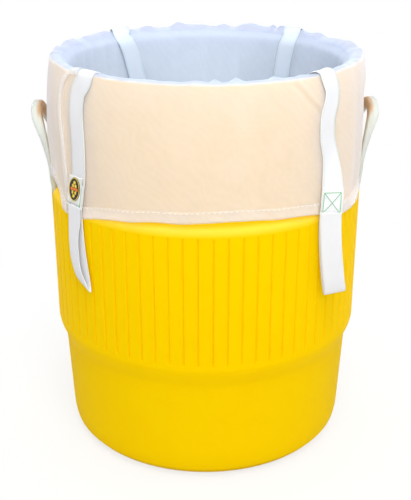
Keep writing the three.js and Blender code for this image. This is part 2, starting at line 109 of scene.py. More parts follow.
def hill(x, centre, half):
    """A smooth hill of height 1."""
    return np.exp(-(((np.asarray(x, float) - centre) / half) ** 2))


def signed_power(x, exponent):
    return np.sign(x) * np.abs(x) ** exponent


def curve(points, x):
    """Monotone cubic through (x, y) points, held level beyond both ends."""
    points = np.asarray(points, float)
    xs, ys = points[np.argsort(points[:, 0])].T
    x = np.clip(np.asarray(x, float), xs[0], xs[-1])
    width = np.diff(xs)
    slope = np.diff(ys) / width
    before, after = slope[:-1], slope[1:]
    m = np.zeros(len(xs))
    m[1:-1] = np.where(after * before > 0, 2 * after * before / (after + before + 1e-12), 0)
    m[0], m[-1] = slope[0], slope[-1]
    i = np.clip(np.searchsorted(xs, x) - 1, 0, len(width) - 1)
    t = (x - xs[i]) / width[i]
    return (
        ys[i] * (1 + 2 * t) * (1 - t) ** 2
        + width[i] * m[i] * t * (1 - t) ** 2
        + ys[i + 1] * t * t * (3 - 2 * t)
        + width[i] * m[i + 1] * t * t * (t - 1)
    )


def ring_curve(points, azimuth):
    """A curve over azimuth that repeats every 360 degrees."""
    points = np.asarray(points, float)
    turns = [points + (shift, 0) for shift in (-360, 0, 360)]
    return curve(np.concatenate(turns), wrap_degrees(azimuth))


class Waves:
    """A seeded sum of waves round the axis, from (waves per turn, amplitude) pairs."""

    def __init__(self, *terms):
        self.terms = list(zip(terms, RNG.uniform(0, TAU, len(terms))))

    def __call__(self, azimuth, shift=0.0):
        angle = np.deg2rad(azimuth)
        return sum(amp * np.cos(count * angle + phase + shift)
                   for (count, amp), phase in self.terms)


# ------------------------------------------------------------------ mesh tools
def by_corners(faces):
    """Faces, given as arrays or single tuples, as one array per number of corners."""
    groups = {}
    for face in faces:
        block = np.atleast_2d(face).astype(np.int64)
        groups.setdefault(block.shape[1], []).append(block)
    return [np.concatenate(blocks) for blocks in groups.values()]


def signed_volume(verts, blocks):
    total = 0.0
    centred = verts - verts.mean(0)
    for block in blocks:
        first = centred[block[:, 0]]
        for k in range(1, block.shape[1] - 1):
            total += np.sum(first * np.cross(centred[block[:, k]], centred[block[:, k + 1]]))
    return total


def register(obj, body=None, replaces=None, slot=None):
    if body:
        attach(obj, body)
    if replaces:
        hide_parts(replaces)


def add_mesh(name, verts, faces, material, smooth=True, attrs=None, **registration):
    """Build an object from points in mm, with its faces turned outwards."""
    verts = np.asarray(verts, float)
    blocks = by_corners(faces)
    if signed_volume(verts, blocks) < 0:
        blocks = [block[:, ::-1] for block in blocks]
    mesh = bpy.data.meshes.new(name)
    mesh.vertices.add(len(verts))
    mesh.vertices.foreach_set("co", (verts * MM).astype(np.float32).ravel())
    loops = np.concatenate([block.ravel() for block in blocks]).astype(np.int32)
    sizes = np.concatenate([np.full(len(block), block.shape[1]) for block in blocks])
    starts = (np.cumsum(sizes) - sizes).astype(np.int32)
    mesh.loops.add(len(loops))
    mesh.loops.foreach_set("vertex_index", loops)
    mesh.polygons.add(len(starts))
    mesh.polygons.foreach_set("loop_start", starts)
    mesh.update(calc_edges=True)
    mesh.validate()
    mesh.polygons.foreach_set("use_smooth", np.full(len(mesh.polygons), smooth))
    mesh.materials.append(material)
    for key, values in (attrs or {}).items():
        attribute = mesh.attributes.new(key, "FLOAT", "POINT")
        attribute.data.foreach_set("value", np.asarray(values, np.float32).ravel())
    mesh.update()
    obj = bpy.data.objects.new(name, mesh)
    bpy.context.scene.collection.objects.link(obj)
    register(obj, **registration)
    return obj


def grid_faces(nu, nv, wrap_u, wrap_v):
    """Quads of a grid whose vertex (i, j) is i * nv + j."""
    i = np.arange(nu if wrap_u else nu - 1)
    j = np.arange(nv if wrap_v else nv - 1)
    i, j = np.meshgrid(i, j, indexing="ij")
    i2, j2 = (i + 1) % nu, (j + 1) % nv
    corners = [i * nv + j, i2 * nv + j, i2 * nv + j2, i * nv + j2]
    return np.stack(corners, -1).reshape(-1, 4)


def fan(centre, ring):
    return np.stack([np.full(len(ring), centre), np.roll(ring, -1), ring], -1)


def strip(ring, next_ring):
    """Quads between two closed rings."""
    return np.stack([ring, np.roll(ring, -1), np.roll(next_ring, -1), next_ring], -1)


def wall(start, end, offset):
    """Quads that join edges start-end to their copies offset vertices on."""
    return np.stack([start, start + offset, end + offset, end], -1)


def grid_normals(points, wrap_u):
    if wrap_u:
        along_u = np.roll(points, -1, 0) - np.roll(points, 1, 0)
    else:
        along_u = np.gradient(points, axis=0)
    return unit(np.cross(along_u, np.gradient(points, axis=1)))


def sheet(name, points, thick, material, centre_z, wrap_u=True, attrs=None, **registration):
    """A thin closed sheet over points[u, v]; the shown face turns away from (0, 0, centre_z)."""
    nu, nv = points.shape[:2]
    normals = grid_normals(points, wrap_u)
    sign = 1.0 if np.mean(np.sum(normals * (points - (0, 0, centre_z)), -1)) > 0 else -1.0
    under = points - normals * sign * thick
    verts = np.concatenate([points.reshape(-1, 3), under.reshape(-1, 3)])
    count = nu * nv
    shown = grid_faces(nu, nv, wrap_u, False)
    faces = [shown, shown[:, ::-1] + count]
    i = np.arange(nu if wrap_u else nu - 1)
    i2 = (i + 1) % nu
    faces.append(wall(i * nv, i2 * nv, count))
    faces.append(wall(i * nv + nv - 1, i2 * nv + nv - 1, count)[:, ::-1])
    if not wrap_u:
        j = np.arange(nv - 1)
        faces.append(wall(j, j + 1, count)[:, ::-1])
        last = (nu - 1) * nv + j
        faces.append(wall(last, last + 1, count))
    doubled = {key: np.tile(np.ravel(values), 2) for key, values in (attrs or {}).items()}
    return add_mesh(name, verts, faces, material, attrs=doubled, **registration)


def revolve(profile, azimuths):
    """Turn a profile of (radius, z) points, with both ends on the axis, about Z."""
    rings, verts, used = [], [], 0
    for radius, z in profile:
        ring = polar([0.0] if radius < 1e-6 else azimuths, 0 if radius < 1e-6 else radius, z)
        rings.append(np.arange(used, used + len(ring)))
        verts.append(ring)
        used += len(ring)
    faces = []
    for ring, next_ring in zip(rings[:-1], rings[1:]):
        if len(ring) == 1:
            faces.append(fan(ring[0], next_ring))
        elif len(next_ring) == 1:
            faces.append(fan(next_ring[0], ring)[:, ::-1])
        else:
            faces.append(strip(ring, next_ring))
    return np.concatenate(verts), faces


def soft_profile(points, sigma, step, keep=()):
    """A polyline with rounded corners, thinned where straight but not in the keep z ranges."""
    points = np.asarray(points, float)
    lengths = np.linalg.norm(np.diff(points, axis=0), axis=1)
    s = np.concatenate([[0], np.cumsum(lengths)])
    count = int(s[-1] / step)
    t = np.linspace(0, s[-1], count)
    fine = np.stack([np.interp(t, s, points[:, k]) for k in (0, 1)], 1)
    reach = int(3 * sigma / step) + 1
    kernel = np.exp(-0.5 * (np.arange(-reach, reach + 1) * step / sigma) ** 2)
    kernel /= kernel.sum()
    head = 2 * fine[:1] - fine[reach:0:-1]
    tail = 2 * fine[-1:] - fine[-2 : -reach - 2 : -1]
    padded = np.concatenate([head, fine, tail])
    soft = np.stack([np.convolve(padded[:, k], kernel, "valid") for k in (0, 1)], 1)
    soft[0], soft[-1] = fine[0], fine[-1]
    kept = [0]
    last_heading = None
    for i in range(1, count - 1):
        heading = soft[i + 1] - soft[i]
        heading = heading / (np.linalg.norm(heading) + 1e-9)
        if last_heading is None:
            last_heading = heading
        gap = np.linalg.norm(soft[i] - soft[kept[-1]])
        turn = math.acos(max(-1, min(1, float(heading @ last_heading))))
        in_range = any(low <= soft[i, 1] <= high for low, high in keep)
        if turn > 0.09 or gap > 14 or (in_range and gap > 0.75):
            kept.append(i)
            last_heading = heading
    kept.append(count - 1)
    return soft[kept]


def sweep(rings, centres):
    """Skin rings[n, m] and close the two ends with fans round the two centres."""
    n, m = rings.shape[:2]
    ring = np.arange(m)
    faces = [
        grid_faces(n, m, False, True),
        fan(n * m, ring)[:, ::-1],
        fan(n * m + 1, (n - 1) * m + ring),
    ]
    return np.concatenate([rings.reshape(-1, 3), centres]), faces


def tube(path, radius, sides, closed=False):
    """A round cord along a path; radius may be one value or one for each point."""
    path = np.asarray(path, float)
    if closed:
        ahead = unit(np.roll(path, -1, 0) - np.roll(path, 1, 0))
    else:
        ahead = unit(np.gradient(path, axis=0))
    up = np.where(np.abs(ahead[:, 2:3]) > 0.9, [[1.0, 0, 0]], [[0, 0, 1.0]])
    side = unit(np.cross(ahead, up))
    rise = np.cross(ahead, side)
    angle = (np.arange(sides) * TAU / sides)[None, :, None]
    radius = np.broadcast_to(np.asarray(radius, float), (len(path),))[:, None, None]
    rings = side[:, None] * np.cos(angle) + rise[:, None] * np.sin(angle)
    rings = path[:, None] + radius * rings
    if closed:
        return rings.reshape(-1, 3), [grid_faces(len(path), sides, True, True)]
    return sweep(rings, path[[0, -1]])


def join(parts):
    verts, faces, used = [], [], 0
    for part_verts, part_faces in parts:
        verts.append(part_verts)
        faces += [block + used for block in by_corners(part_faces)]
        used += len(part_verts)
    return np.concatenate(verts), faces


def add_box(cutters, centre, size):
    made = bmesh.ops.create_cube(cutters, size=1)
    for vert in made["verts"]:
        vert.co = Vector([(c + v * s) * MM for c, v, s in zip(centre, vert.co, size)])


def add_cylinder(cutters, radius, depth, centre, segments, along_y=False):
    made = bmesh.ops.create_cone(
        cutters, segments=segments, radius1=radius * MM, radius2=radius * MM,
        depth=depth * MM, cap_ends=True)
    for vert in made["verts"]:
        local = vert.co.xzy if along_y else vert.co.xyz
        vert.co = local + Vector(centre) * MM


def cut(obj, cutters):
    """Subtract a bmesh of cutters from an object."""
    bmesh.ops.recalc_face_normals(cutters, faces=cutters.faces)
    mesh = bpy.data.meshes.new("cutters")
    cutters.to_mesh(mesh)
    cutters.free()
    cutter = bpy.data.objects.new("cutters", mesh)
    bpy.context.scene.collection.objects.link(cutter)
    boolean = obj.modifiers.new("cut", "BOOLEAN")
    boolean.operation = "DIFFERENCE"
    boolean.solver = "MANIFOLD"
    boolean.object = cutter
    bpy.context.view_layer.update()
    graph = bpy.context.evaluated_depsgraph_get()
    result = bpy.data.meshes.new_from_object(
        obj.evaluated_get(graph), preserve_all_data_layers=True, depsgraph=graph)
    obj.modifiers.clear()
    old = obj.data
    obj.data = result
    bpy.data.meshes.remove(old)
    bpy.data.objects.remove(cutter)


# ------------------------------------------------------------------ shader tools
class Signal:
    """A shader output; arithmetic on it adds math nodes."""

    def __init__(self, nodes, socket):
        self.nodes = nodes
        self.socket = socket

    def __add__(self, other):
        return self.nodes.math("ADD", self, other)

    def __radd__(self, other):
        return self.nodes.math("ADD", other, self)

    def __sub__(self, other):
        return self.nodes.math("SUBTRACT", self, other)

    def __rsub__(self, other):
        return self.nodes.math("SUBTRACT", other, self)

    def __mul__(self, other):
        return self.nodes.math("MULTIPLY", self, other)

    def __pow__(self, other):
        return self.nodes.math("POWER", self, other)

    def __abs__(self):
        return self.nodes.math("ABSOLUTE", self)


def clamped(signal):
    """Clamp the math node that makes this signal to 0..1."""
    signal.socket.node.use_clamp = True
    return signal


def above(signal, start, gain):
    """How far a signal rises above start, times gain."""
    return clamped(signal - start) * gain


def shade(color, factor):
    return tuple(c * factor for c in color)


class Nodes:
    """The node tree of a material or world."""

    def __init__(self, owner, output="ShaderNodeOutputMaterial"):
        self.owner = owner
        owner.use_nodes = True
        self.tree = owner.node_tree
        self.tree.nodes.clear()
        self.output = self.tree.nodes.new(output)

    def feed(self, socket, value):
        if isinstance(value, Signal):
            self.tree.links.new(value.socket, socket)
            return
        if isinstance(value, tuple):  # a colour gets its alpha
            value = value + (1,) * (len(socket.default_value) - len(value))
        socket.default_value = value

    def add(self, kind, inputs=None, out=0, **settings):
        node = self.tree.nodes.new(kind)
        for key, value in settings.items():
            setattr(node, key, value)
        for key, value in (inputs or {}).items():
            self.feed(node.inputs[key], value)
        return Signal(self, node.outputs[out])

    def math(self, operation, *values):
        return self.add("ShaderNodeMath", dict(enumerate(values)), operation=operation)

    def wave(self, position, period):
        return self.math("SINE", position * (TAU / period))

    def coords(self, scale=(1, 1, 1)):
        place = self.add("ShaderNodeTexCoord", out="Object")
        return self.add("ShaderNodeMapping", {"Scale": scale, "Vector": place})

    def noise(self, place, scale, detail=3.0, rough=0.5, distortion=0.0):
        return self.add("ShaderNodeTexNoise", {
            "Scale": scale, "Detail": detail, "Roughness": rough, "Distortion": distortion,
            "Vector": place}, out="Fac")

    def mix(self, factor, a, b):
        return self.add("ShaderNodeMix", {0: factor, 6: a, 7: b}, out=2, data_type="RGBA")

    def mix_shader(self, factor, a, b):
        return self.add("ShaderNodeMixShader", {0: factor, 1: a, 2: b})

    def attr(self, name):
        return self.add("ShaderNodeAttribute", out="Fac", attribute_name=name)

    def facing(self):
        return self.add("ShaderNodeLayerWeight", {"Blend": 0.5}, out="Facing")

    def light_path(self, ray):
        return self.add("ShaderNodeLightPath", out=ray)

    def bump(self, height, strength, distance):
        """Bumped normal; distance in metres."""
        return self.add("ShaderNodeBump", {
            "Strength": strength, "Distance": distance, "Height": height}, out="Normal")

    def principled(self, color, rough, specular, **inputs):
        named = {key.replace("_", " "): value for key, value in inputs.items()}
        return self.add("ShaderNodeBsdfPrincipled", {
            "Base Color": color, "Roughness": rough, "Specular IOR Level": specular, **named})

    def surface(self, shader):
        self.feed(self.output.inputs["Surface"], shader)
        return self.owner


def material_nodes(name):
    return Nodes(bpy.data.materials.new(name))


# ------------------------------------------------------------------ materials
def plastic(name, base, dark, rough, specular, mottle_scale, peel_scale, peel_strength, scuffs,
            inner_shade_color=None):
    """Moulded plastic: slow mottling, fine orange-peel texture, scuffs and an optional painted warm
    shade on faces marked inner.
    """
    m = material_nodes(name)
    place = m.coords()
    mottle = m.noise(place, scale=mottle_scale, detail=4, rough=0.55, distortion=0.4)
    fine = m.noise(place, scale=60, detail=5, rough=0.6)
    color = m.mix(clamped(above(mottle, start=0.42, gain=2.2)), base, dark)
    # scuffs: stretched noise cut to thin streaks
    streaks = m.noise(m.coords((40, 40, 260)), scale=1.0, detail=6, rough=0.7, distortion=1.5)
    scuff = clamped(above(streaks, start=0.62, gain=4.0 * scuffs))
    scuff_color = tuple(min(1.0, c * 1.05 + 0.03) for c in base)
    color = m.mix(scuff * 0.35, color, scuff_color)
    # painted shade: a warm, bounce-tinted shade in patches on faces marked inner, which face the
    # tub
    if inner_shade_color:
        patches = clamped(0.55 + fine * 0.6)
        color = m.mix(m.attr("inner") * (patches * 0.95), color, inner_shade_color)
    # fine noise varies the gloss and scuffs dull it
    roughness = clamped(fine * 0.16 + (rough - 0.08) + scuff * 0.25)
    # scuffs are sunk in the orange peel
    relief = m.noise(place, scale=peel_scale, detail=2, rough=0.5) + scuff * -0.6
    normal = m.bump(relief, strength=peel_strength, distance=0.0006)
    return m.surface(m.principled(color, roughness, specular, Normal=normal))


def yellow_shell():
    m = material_nodes("shell_yellow")
    place = m.coords()
    broad = m.noise(place, scale=7.0, detail=5, rough=0.6, distortion=0.6)
    medium = m.noise(place, scale=34.0, detail=5, rough=0.62, distortion=0.8)
    fine = m.noise(place, scale=140, detail=4, rough=0.6)
    mottle = clamped(above(broad, start=0.45, gain=1.1) + above(medium, start=0.5, gain=1.3))
    color = m.mix(mottle * 0.8, (1.0, 0.65, 0.0), (0.97, 0.585, 0.0))
    # painted shade deepens the grooves' tone; a painted highlight makes the shoulder ledge paler
    color = m.mix(m.attr("groove") * 0.50, color, (0.95, 0.48, 0.0))
    ledge = clamped(m.attr("ledge") * (0.55 + fine * 0.5))
    color = m.mix(ledge * 0.55, color, (1.0, 0.70, 0.12))
    streaks = m.noise(m.coords((46, 46, 240)), scale=1.0, detail=6, rough=0.72, distortion=1.8)
    scuff = clamped(above(streaks, start=0.63, gain=3.2))
    color = m.mix(scuff * 0.3, color, (1.0, 0.67, 0.04))
    # fine noise varies the gloss and scuffs dull it
    roughness = clamped(fine * 0.2 + 0.36 + scuff * 0.25)
    peel = m.noise(place, scale=620, detail=3, rough=0.55)
    normal = m.bump(peel * 0.8 + medium * 0.9, strength=0.07, distance=0.0012)
    # painted light: emission brightens the band where it turns away and the underside of the step
    # below it
    edge_fill_light = m.facing() ** 3.0 * m.attr("band") * 0.16
    painted_fill_light = edge_fill_light + m.attr("under") * 0.13
    return m.surface(m.principled(
        color, roughness, specular=0.02, Normal=normal, Specular_Tint=(1.0, 0.78, 0.2),
        Emission_Color=(1.0, 0.52, 0.0), Emission_Strength=painted_fill_light))


def net(name, tint=(0.95, 0.95, 0.97), cover=0.655):
    """See-through mesh cloth: holes are a share of transparency that falls as it turns away.

    cover is how opaque the cloth is when seen square on.
    """
    m = material_nodes(name)
    place = m.coords()
    facing = m.facing() ** 2.2
    back_face = m.add("ShaderNodeNewGeometry", out="Backfacing")
    along, around = m.attr("along"), m.attr("round")
    # two thread directions 0.9 mm apart, and slow interference between layers
    weave = (m.wave(along, period=0.9) + m.wave(around, period=0.9)) * 0.25 + 0.5
    slow = m.noise(place, scale=11.0, detail=3, rough=0.5, distortion=1.2)
    moire = m.math("SINE", slow * 46.0 + (along + around) * 0.45)
    soft = m.noise(place, scale=26.0, detail=4, rough=0.6, distortion=0.5)
    # opacity: up to 0.97 at grazing angles, then small shares of each pattern
    opacity = cover + facing * (0.97 - cover)
    opacity = opacity + (weave - 0.5) * 0.05
    opacity = opacity + moire * 0.006
    opacity = clamped(opacity + (soft - 0.5) * 0.10)
    opacity = clamped(opacity + m.attr("dense") * 0.3)
    # shadows are thinned and back faces let everything through
    opacity = opacity * (1.0 - m.light_path("Is Shadow Ray") * 0.8)
    opacity = opacity * (1.0 - back_face)
    region = m.attr("region")
    # painted shade: the cloth turns greyer lilac towards grazing angles
    color = m.mix(facing * 0.8, tint, (0.84, 0.82, 0.87))
    color = m.mix(region, color, (0.69, 0.765, 0.87))  # painted cool shade inside the tub
    color = m.mix(clamped((soft - 0.5) * 0.35), color, (0.84, 0.82, 0.86))
    # painted cool shade along the rim fold, stronger away from the front
    color = m.mix(m.attr("rim") * 0.72, color, (0.55, 0.61, 0.83))
    normal = m.bump(weave * 0.15 + soft * 0.7, strength=0.10, distance=0.0006)
    cloth = {"Color": color, "Normal": normal}
    diffuse = m.add("ShaderNodeBsdfDiffuse", {"Roughness": 0.6, **cloth})
    translucent = m.add("ShaderNodeBsdfTranslucent", cloth)
    sheen = m.add("ShaderNodeBsdfSheen", {"Roughness": 0.4, **cloth})
    solid = m.mix_shader(0.18, diffuse, translucent)
    solid = m.mix_shader(0.06, solid, sheen)
    clear = m.add("ShaderNodeBsdfTransparent")
    return m.surface(m.mix_shader(opacity, clear, solid))


def webbing():
    """White woven webbing: ribs along, fine twill across, a dashed green line near each edge."""
    m = material_nodes("webbing_white")
    place = m.coords()
    along, across = m.attr("along"), m.attr("across")
    ribs = m.wave(across, period=1.4)
    twill = m.wave(along + abs(across) * 0.8, period=1.5)
    dirt = m.noise(place, scale=30, detail=4, rough=0.6, distortion=0.5)
    color = m.mix((twill * 0.5 + 0.5) * 0.35, (0.94, 0.94, 0.955), (0.875, 0.87, 0.895))
    color = m.mix(above(dirt, start=0.5, gain=0.6), color, (0.84, 0.81, 0.80))
    # painted cool shade on the strap parts inside the bag
    color = m.mix(m.attr("inside"), color, (0.725, 0.805, 0.92))
    # the line lies 10.6 mm from the middle
    line = clamped(1.0 - abs(abs(across) - 10.6) * 1.5)
    dash = m.math("GREATER_THAN", m.wave(along, period=2.9), -0.55)
    color = m.mix(line * dash * (m.attr("trim") * 0.75), color, (0.42, 0.72, 0.58))
    normal = m.bump(ribs * 0.3 + twill * 0.35, strength=0.25, distance=0.0004)
    body = m.principled(color, rough=0.72, specular=0.2, Normal=normal, Sheen_Weight=0.12)
    warm = m.mix(0.25, color, (1.0, 0.93, 0.88))
    translucent = m.add("ShaderNodeBsdfTranslucent", {"Color": warm})
    return m.surface(m.mix_shader(0.10, body, translucent))


def thread(name, color):
    m = material_nodes(name)
    twist = m.noise(m.coords(), scale=900, detail=2, rough=0.5)
    return m.surface(m.principled(
        m.mix(twist * 0.5, color, shade(color, 0.72)), rough=0.55, specular=0.3,
        Normal=m.bump(twist, strength=0.3, distance=0.0003), Sheen_Weight=0.2))


def steel():
    m = material_nodes("steel_bright")
    bright = (0.62, 0.63, 0.65)
    grain = m.noise(m.coords((400, 30, 400)), scale=1.0, detail=4, rough=0.6)
    return m.surface(m.principled(
        m.mix(grain * 0.4, bright, shade(bright, 0.75)), rough=grain * 0.2 + 0.2,
        specular=0.5, Metallic=1.0, Normal=m.bump(grain, strength=0.08, distance=0.0004)))


def rubber():
    m = material_nodes("rubber_dark")
    grain = m.noise(m.coords(), scale=300, detail=4, rough=0.6)
    return m.surface(m.principled(
        m.mix(grain * 0.5, (0.035, 0.035, 0.037), (0.08, 0.08, 0.08)), rough=0.75,
        specular=0.25, Normal=m.bump(grain, strength=0.2, distance=0.0004)))


def foam():
    m = material_nodes("foam_cream")
    cells = m.add("ShaderNodeTexVoronoi", {"Scale": 260, "Vector": m.coords()}, out="Distance")
    return m.surface(m.principled(
        m.mix(cells, (0.78, 0.68, 0.42), (0.93, 0.86, 0.64)), rough=0.95, specular=0.1,
        Normal=m.bump(cells, strength=0.6, distance=0.001)))


def label_cloth():
    m = material_nodes("label_cloth")
    weave = m.wave(m.attr("along"), period=0.7) * m.wave(m.attr("across"), period=0.7)
    dirt = m.noise(m.coords(), scale=50, detail=3, rough=0.5)
    return m.surface(m.principled(
        m.mix(dirt * 0.35, (0.92, 0.91, 0.86), (0.82, 0.82, 0.78)), rough=0.7, specular=0.25,
        Normal=m.bump(weave, strength=0.2, distance=0.0002), Sheen_Weight=0.1))


def badge(name, color, other_color):
    m = material_nodes(name)
    grain = m.noise(m.coords(), scale=1400, detail=2, rough=0.5)
    return m.surface(m.principled(
        m.mix(grain, color, other_color), rough=0.5, specular=0.35,
        Normal=m.bump(grain, strength=0.25, distance=0.0002), Sheen_Weight=0.1))


SHELL_YELLOW = yellow_shell()
LINER_WHITE = plastic(
    "liner_white", base=(0.90, 0.91, 0.92), dark=(0.82, 0.83, 0.84), rough=0.35, specular=0.35,
    mottle_scale=12, peel_scale=700, peel_strength=0.05, scuffs=0.4)
# the handle's inner colour is painted shade, tinted tan by light bounced from the yellow tub
HANDLE_IVORY = plastic(
    "handle_ivory", base=(0.66, 0.685, 0.64), dark=(0.58, 0.60, 0.52), rough=0.48, specular=0.3,
    mottle_scale=40, peel_scale=1100, peel_strength=0.12, scuffs=0.9, inner_shade_color=(0.56, 0.31, 0.13))
TAP_WHITE = plastic(
    "tap_white", base=(0.86, 0.86, 0.83), dark=(0.78, 0.78, 0.75), rough=0.32, specular=0.4,
    mottle_scale=50, peel_scale=1200, peel_strength=0.05, scuffs=0.3)
STEEL = steel()
RUBBER = rubber()
FOAM = foam()
MESH = net("mesh_net")
MESH_DOUBLE = net("mesh_net_double", tint=(0.98, 0.97, 0.98), cover=0.33)
WEBBING = webbing()
CLOTH_THREAD = thread("thread_cloth", (0.95, 0.90, 0.86))
GREEN_THREAD = thread("thread_green", (0.22, 0.55, 0.24))
PALE_THREAD = thread("thread_pale", (0.86, 0.84, 0.90))
LABEL_CLOTH = label_cloth()
BADGE_DARK = badge("badge_dark", (0.008, 0.009, 0.008), (0.02, 0.02, 0.018))
BADGE_GOLD = badge("badge_gold", (0.96, 0.74, 0.06), (0.90, 0.60, 0.03))
BADGE_AMBER = badge("badge_amber", (0.92, 0.24, 0.02), (0.85, 0.17, 0.01))

# ------------------------------------------------------------------ tub
# Profiles are (radius, z). The outer one runs up from the base centre, the inner one back down.
SHELL_OUTER = [
    (0, 0), (163, 0), (175, 3.6), (182, 12), (184.3, 24), (189.4, 133), (190.6, 139.5),
    (193.6, 147.5), (196.6, 154.5), (BAND_R, 161.5), (BAND_R, 332), (196.6, 338),
    (192.8, 342.4), (189.5, 345), (189.5, 495.5), (188.9, 498.4), (187.6, 499.6),
]
SHELL_INNER = [
    (186.6, 499.0), (186.5, 343.5), (195.2, 330.5), (195.2, 159), (186, 128), (181, 26),
    (172.6, 7), (160, 4.2), (0, 4.2),
]
# The liner runs up its inner face, over the lip and down its outer face.
LINER = [
    (0, 25), (146, 25), (157, 29), (162.4, 40), (169.8, 474), (170, 488), (171.2, 493.0),
    (174.5, 496.0), (181.8, 498.4), (183.6, 499.9), (185.0, 500.0), (186.1, 498.9),
    (186.1, 494.1), (173, 494.1), (165.4, 38), (158, 25), (147, 21.6), (0, 21.6),
]
GROOVE_PITCH = 5  # degrees
GROOVE_OFFSETS = np.array(  # vertex columns round each groove, degrees
    [-2.5, -1.7, -0.95, -0.62, -0.42, -0.22, 0.0, 0.22, 0.42, 0.62, 0.95, 1.7])
GROOVE_HALF, GROOVE_DEPTH = 1.7, 1.3
GROOVE_TOP = 330.5
SIDE_DROP = 31  # grooves end this much lower below the handles
PORT_R = 10.8


def add_port(cutters, y):
    """The tap hole, a cylinder along Y."""
    add_cylinder(cutters, PORT_R, 60, (0, y, PORT_Z), segments=48, along_y=True)


def build_shell():
    keep = ((164, 173), (296, 303), (326, 345))  # z ranges that need close rows
    outer = soft_profile(SHELL_OUTER, sigma=1.6, step=0.5, keep=keep)
    inner = soft_profile(SHELL_INNER, sigma=1.2, step=0.8)
    azimuths = (np.arange(72)[:, None] * GROOVE_PITCH + GROOVE_OFFSETS).ravel()
    verts, faces = revolve(np.concatenate([outer, inner]), azimuths)
    radius = np.hypot(verts[:, 0], verts[:, 1])
    azimuth = np.degrees(np.arctan2(verts[:, 0], -verts[:, 1]))
    z = verts[:, 2]
    outer_count = sum(1 if r < 1e-6 else len(azimuths) for r, _ in outer)
    is_outer = np.arange(len(verts)) < outer_count

    # vertical grooves, and flats between them
    half_pitch = GROOVE_PITCH / 2
    off_groove = np.abs((azimuth + half_pitch) % GROOVE_PITCH - half_pitch)
    off_mm = np.deg2rad(off_groove) * BAND_R
    off_side = np.minimum(*(np.abs(wrap_degrees(azimuth + a)) for a in (-90, 90)))
    top = np.where(off_side < 17, GROOVE_TOP - SIDE_DROP, GROOVE_TOP)
    grooved = smooth_step(167.0, 170.4, z) * (1 - smooth_step(top - 2.6, top + 0.6, z)) * is_outer
    bowl = np.cos(np.clip(off_mm, 0, GROOVE_HALF) / GROOVE_HALF * math.pi / 2) ** 1.6
    bowl = np.where(off_mm < GROOVE_HALF, bowl, 0)
    shoulder = 0.28 * np.exp(-np.clip(off_mm - 1.5, 0, None) / 1.6) * (off_mm >= 1.5)
    flat = BAND_R * (1 - cosd(half_pitch) / cosd(half_pitch - off_groove))
    band = smooth_step(158, 166, z) * (1 - smooth_step(329, 334, z)) * is_outer
    sunk = grooved * (GROOVE_DEPTH * bowl + shoulder) + band * flat * 0.9
    scale = np.where(radius > 1, (radius - sunk) / np.maximum(radius, 1e-6), 1)
    verts[:, :2] *= scale[:, None]

    # solid bosses that carry the hinges, on the hidden inner face
    x, y = verts[:, 0], verts[:, 1]
    boss = ~is_outer & (np.abs(y) < 52) & (z > 304) & (z < 352) & (np.abs(x) > 150)
    verts[boss, 0] = np.sign(verts[boss, 0]) * 178.5

    # the groove mask carries painted shade, the ledge mask a painted highlight on the shoulder, and
    # the under mask painted fill light below the step
    obj = add_mesh("outer_shell_body", verts, faces, SHELL_YELLOW, attrs={
        "groove": grooved * np.clip(1.15 - off_mm / 1.5, 0, 1),
        "ledge": is_outer * hill(z, 338.5, 4.6),
        "under": is_outer * hill(z, 148, 9.0),
        "band": is_outer * smooth_step(150, 170, z),
    })
    cutters = bmesh.new()
    for x_side in (1, -1):  # slots for the handle arms
        for y_side in (1, -1):
            add_box(cutters, (x_side * 198, y_side * ARM_Y, 328.5), (28, 11.2, 35))
    add_port(cutters, 185)
    for fill_r, depth, fill_z in ((8.4, 20, 2.0), (13.2, 6.0, -1.3)):  # stepped filling hole
        add_cylinder(cutters, fill_r, depth, (0, -60, fill_z), segments=40)
    cut(obj, cutters)
    obj.data.polygons.foreach_set("use_smooth", [True] * len(obj.data.polygons))
    obj.data.set_sharp_from_angle(angle=math.radians(38))
    register(obj, "tub", "outer_shell", "shell_plastic")


def build_liner():
    profile = soft_profile(LINER[::-1], sigma=1.0, step=0.7)
    verts, faces = revolve(profile, np.arange(180) * 2.0)
    obj = add_mesh("inner_liner_cup", verts, faces, LINER_WHITE, slot="white_plastic")
    cutters = bmesh.new()
    add_port(cutters, 165)
    cut(obj, cutters)
    obj.data.set_sharp_from_angle(angle=math.radians(40))
    register(obj, "tub", "inner_liner")


# CAD pieces that keep their shape: (name, material, rounding of their edges)
KEPT_PIECES = [
    ("insulation_foam", FOAM, 0),
    ("base_fill_plug", LINER_WHITE, 0.3),
    ("handle_hinge_rod_right", STEEL, 0.25),
    ("handle_hinge_rod_left", STEEL, 0.25),
    ("tap_body", TAP_WHITE, 0.5),
    ("tap_outer_washer", RUBBER, 0.3),
    ("tap_inner_washer", RUBBER, 0.3),
    ("tap_back_nut", TAP_WHITE, 0.5),
    ("tap_bonnet", TAP_WHITE, 0.5),
    ("tap_lever_pin", STEEL, 0.2),
    ("tap_lever", TAP_WHITE, 0.4),
    ("tap_stem", TAP_WHITE, 0.2),
    ("tap_seal", RUBBER, 0.4),
    ("tap_spring", STEEL, 0),
]


def finish_piece(name, material, width):
    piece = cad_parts[name]
    mesh = piece.data
    mesh.materials.clear()
    mesh.materials.append(material)
    mesh.polygons.foreach_set("use_smooth", [True] * len(mesh.polygons))
    mesh.set_sharp_from_angle(angle=math.radians(32))
    if width:
        bevel = piece.modifiers.new("round", "BEVEL")
        bevel.width = width * MM
        bevel.segments = 3
        bevel.limit_method = "ANGLE"
        bevel.angle_limit = math.radians(32)


build_shell()
build_liner()
for entry in KEPT_PIECES:
    finish_piece(*entry)

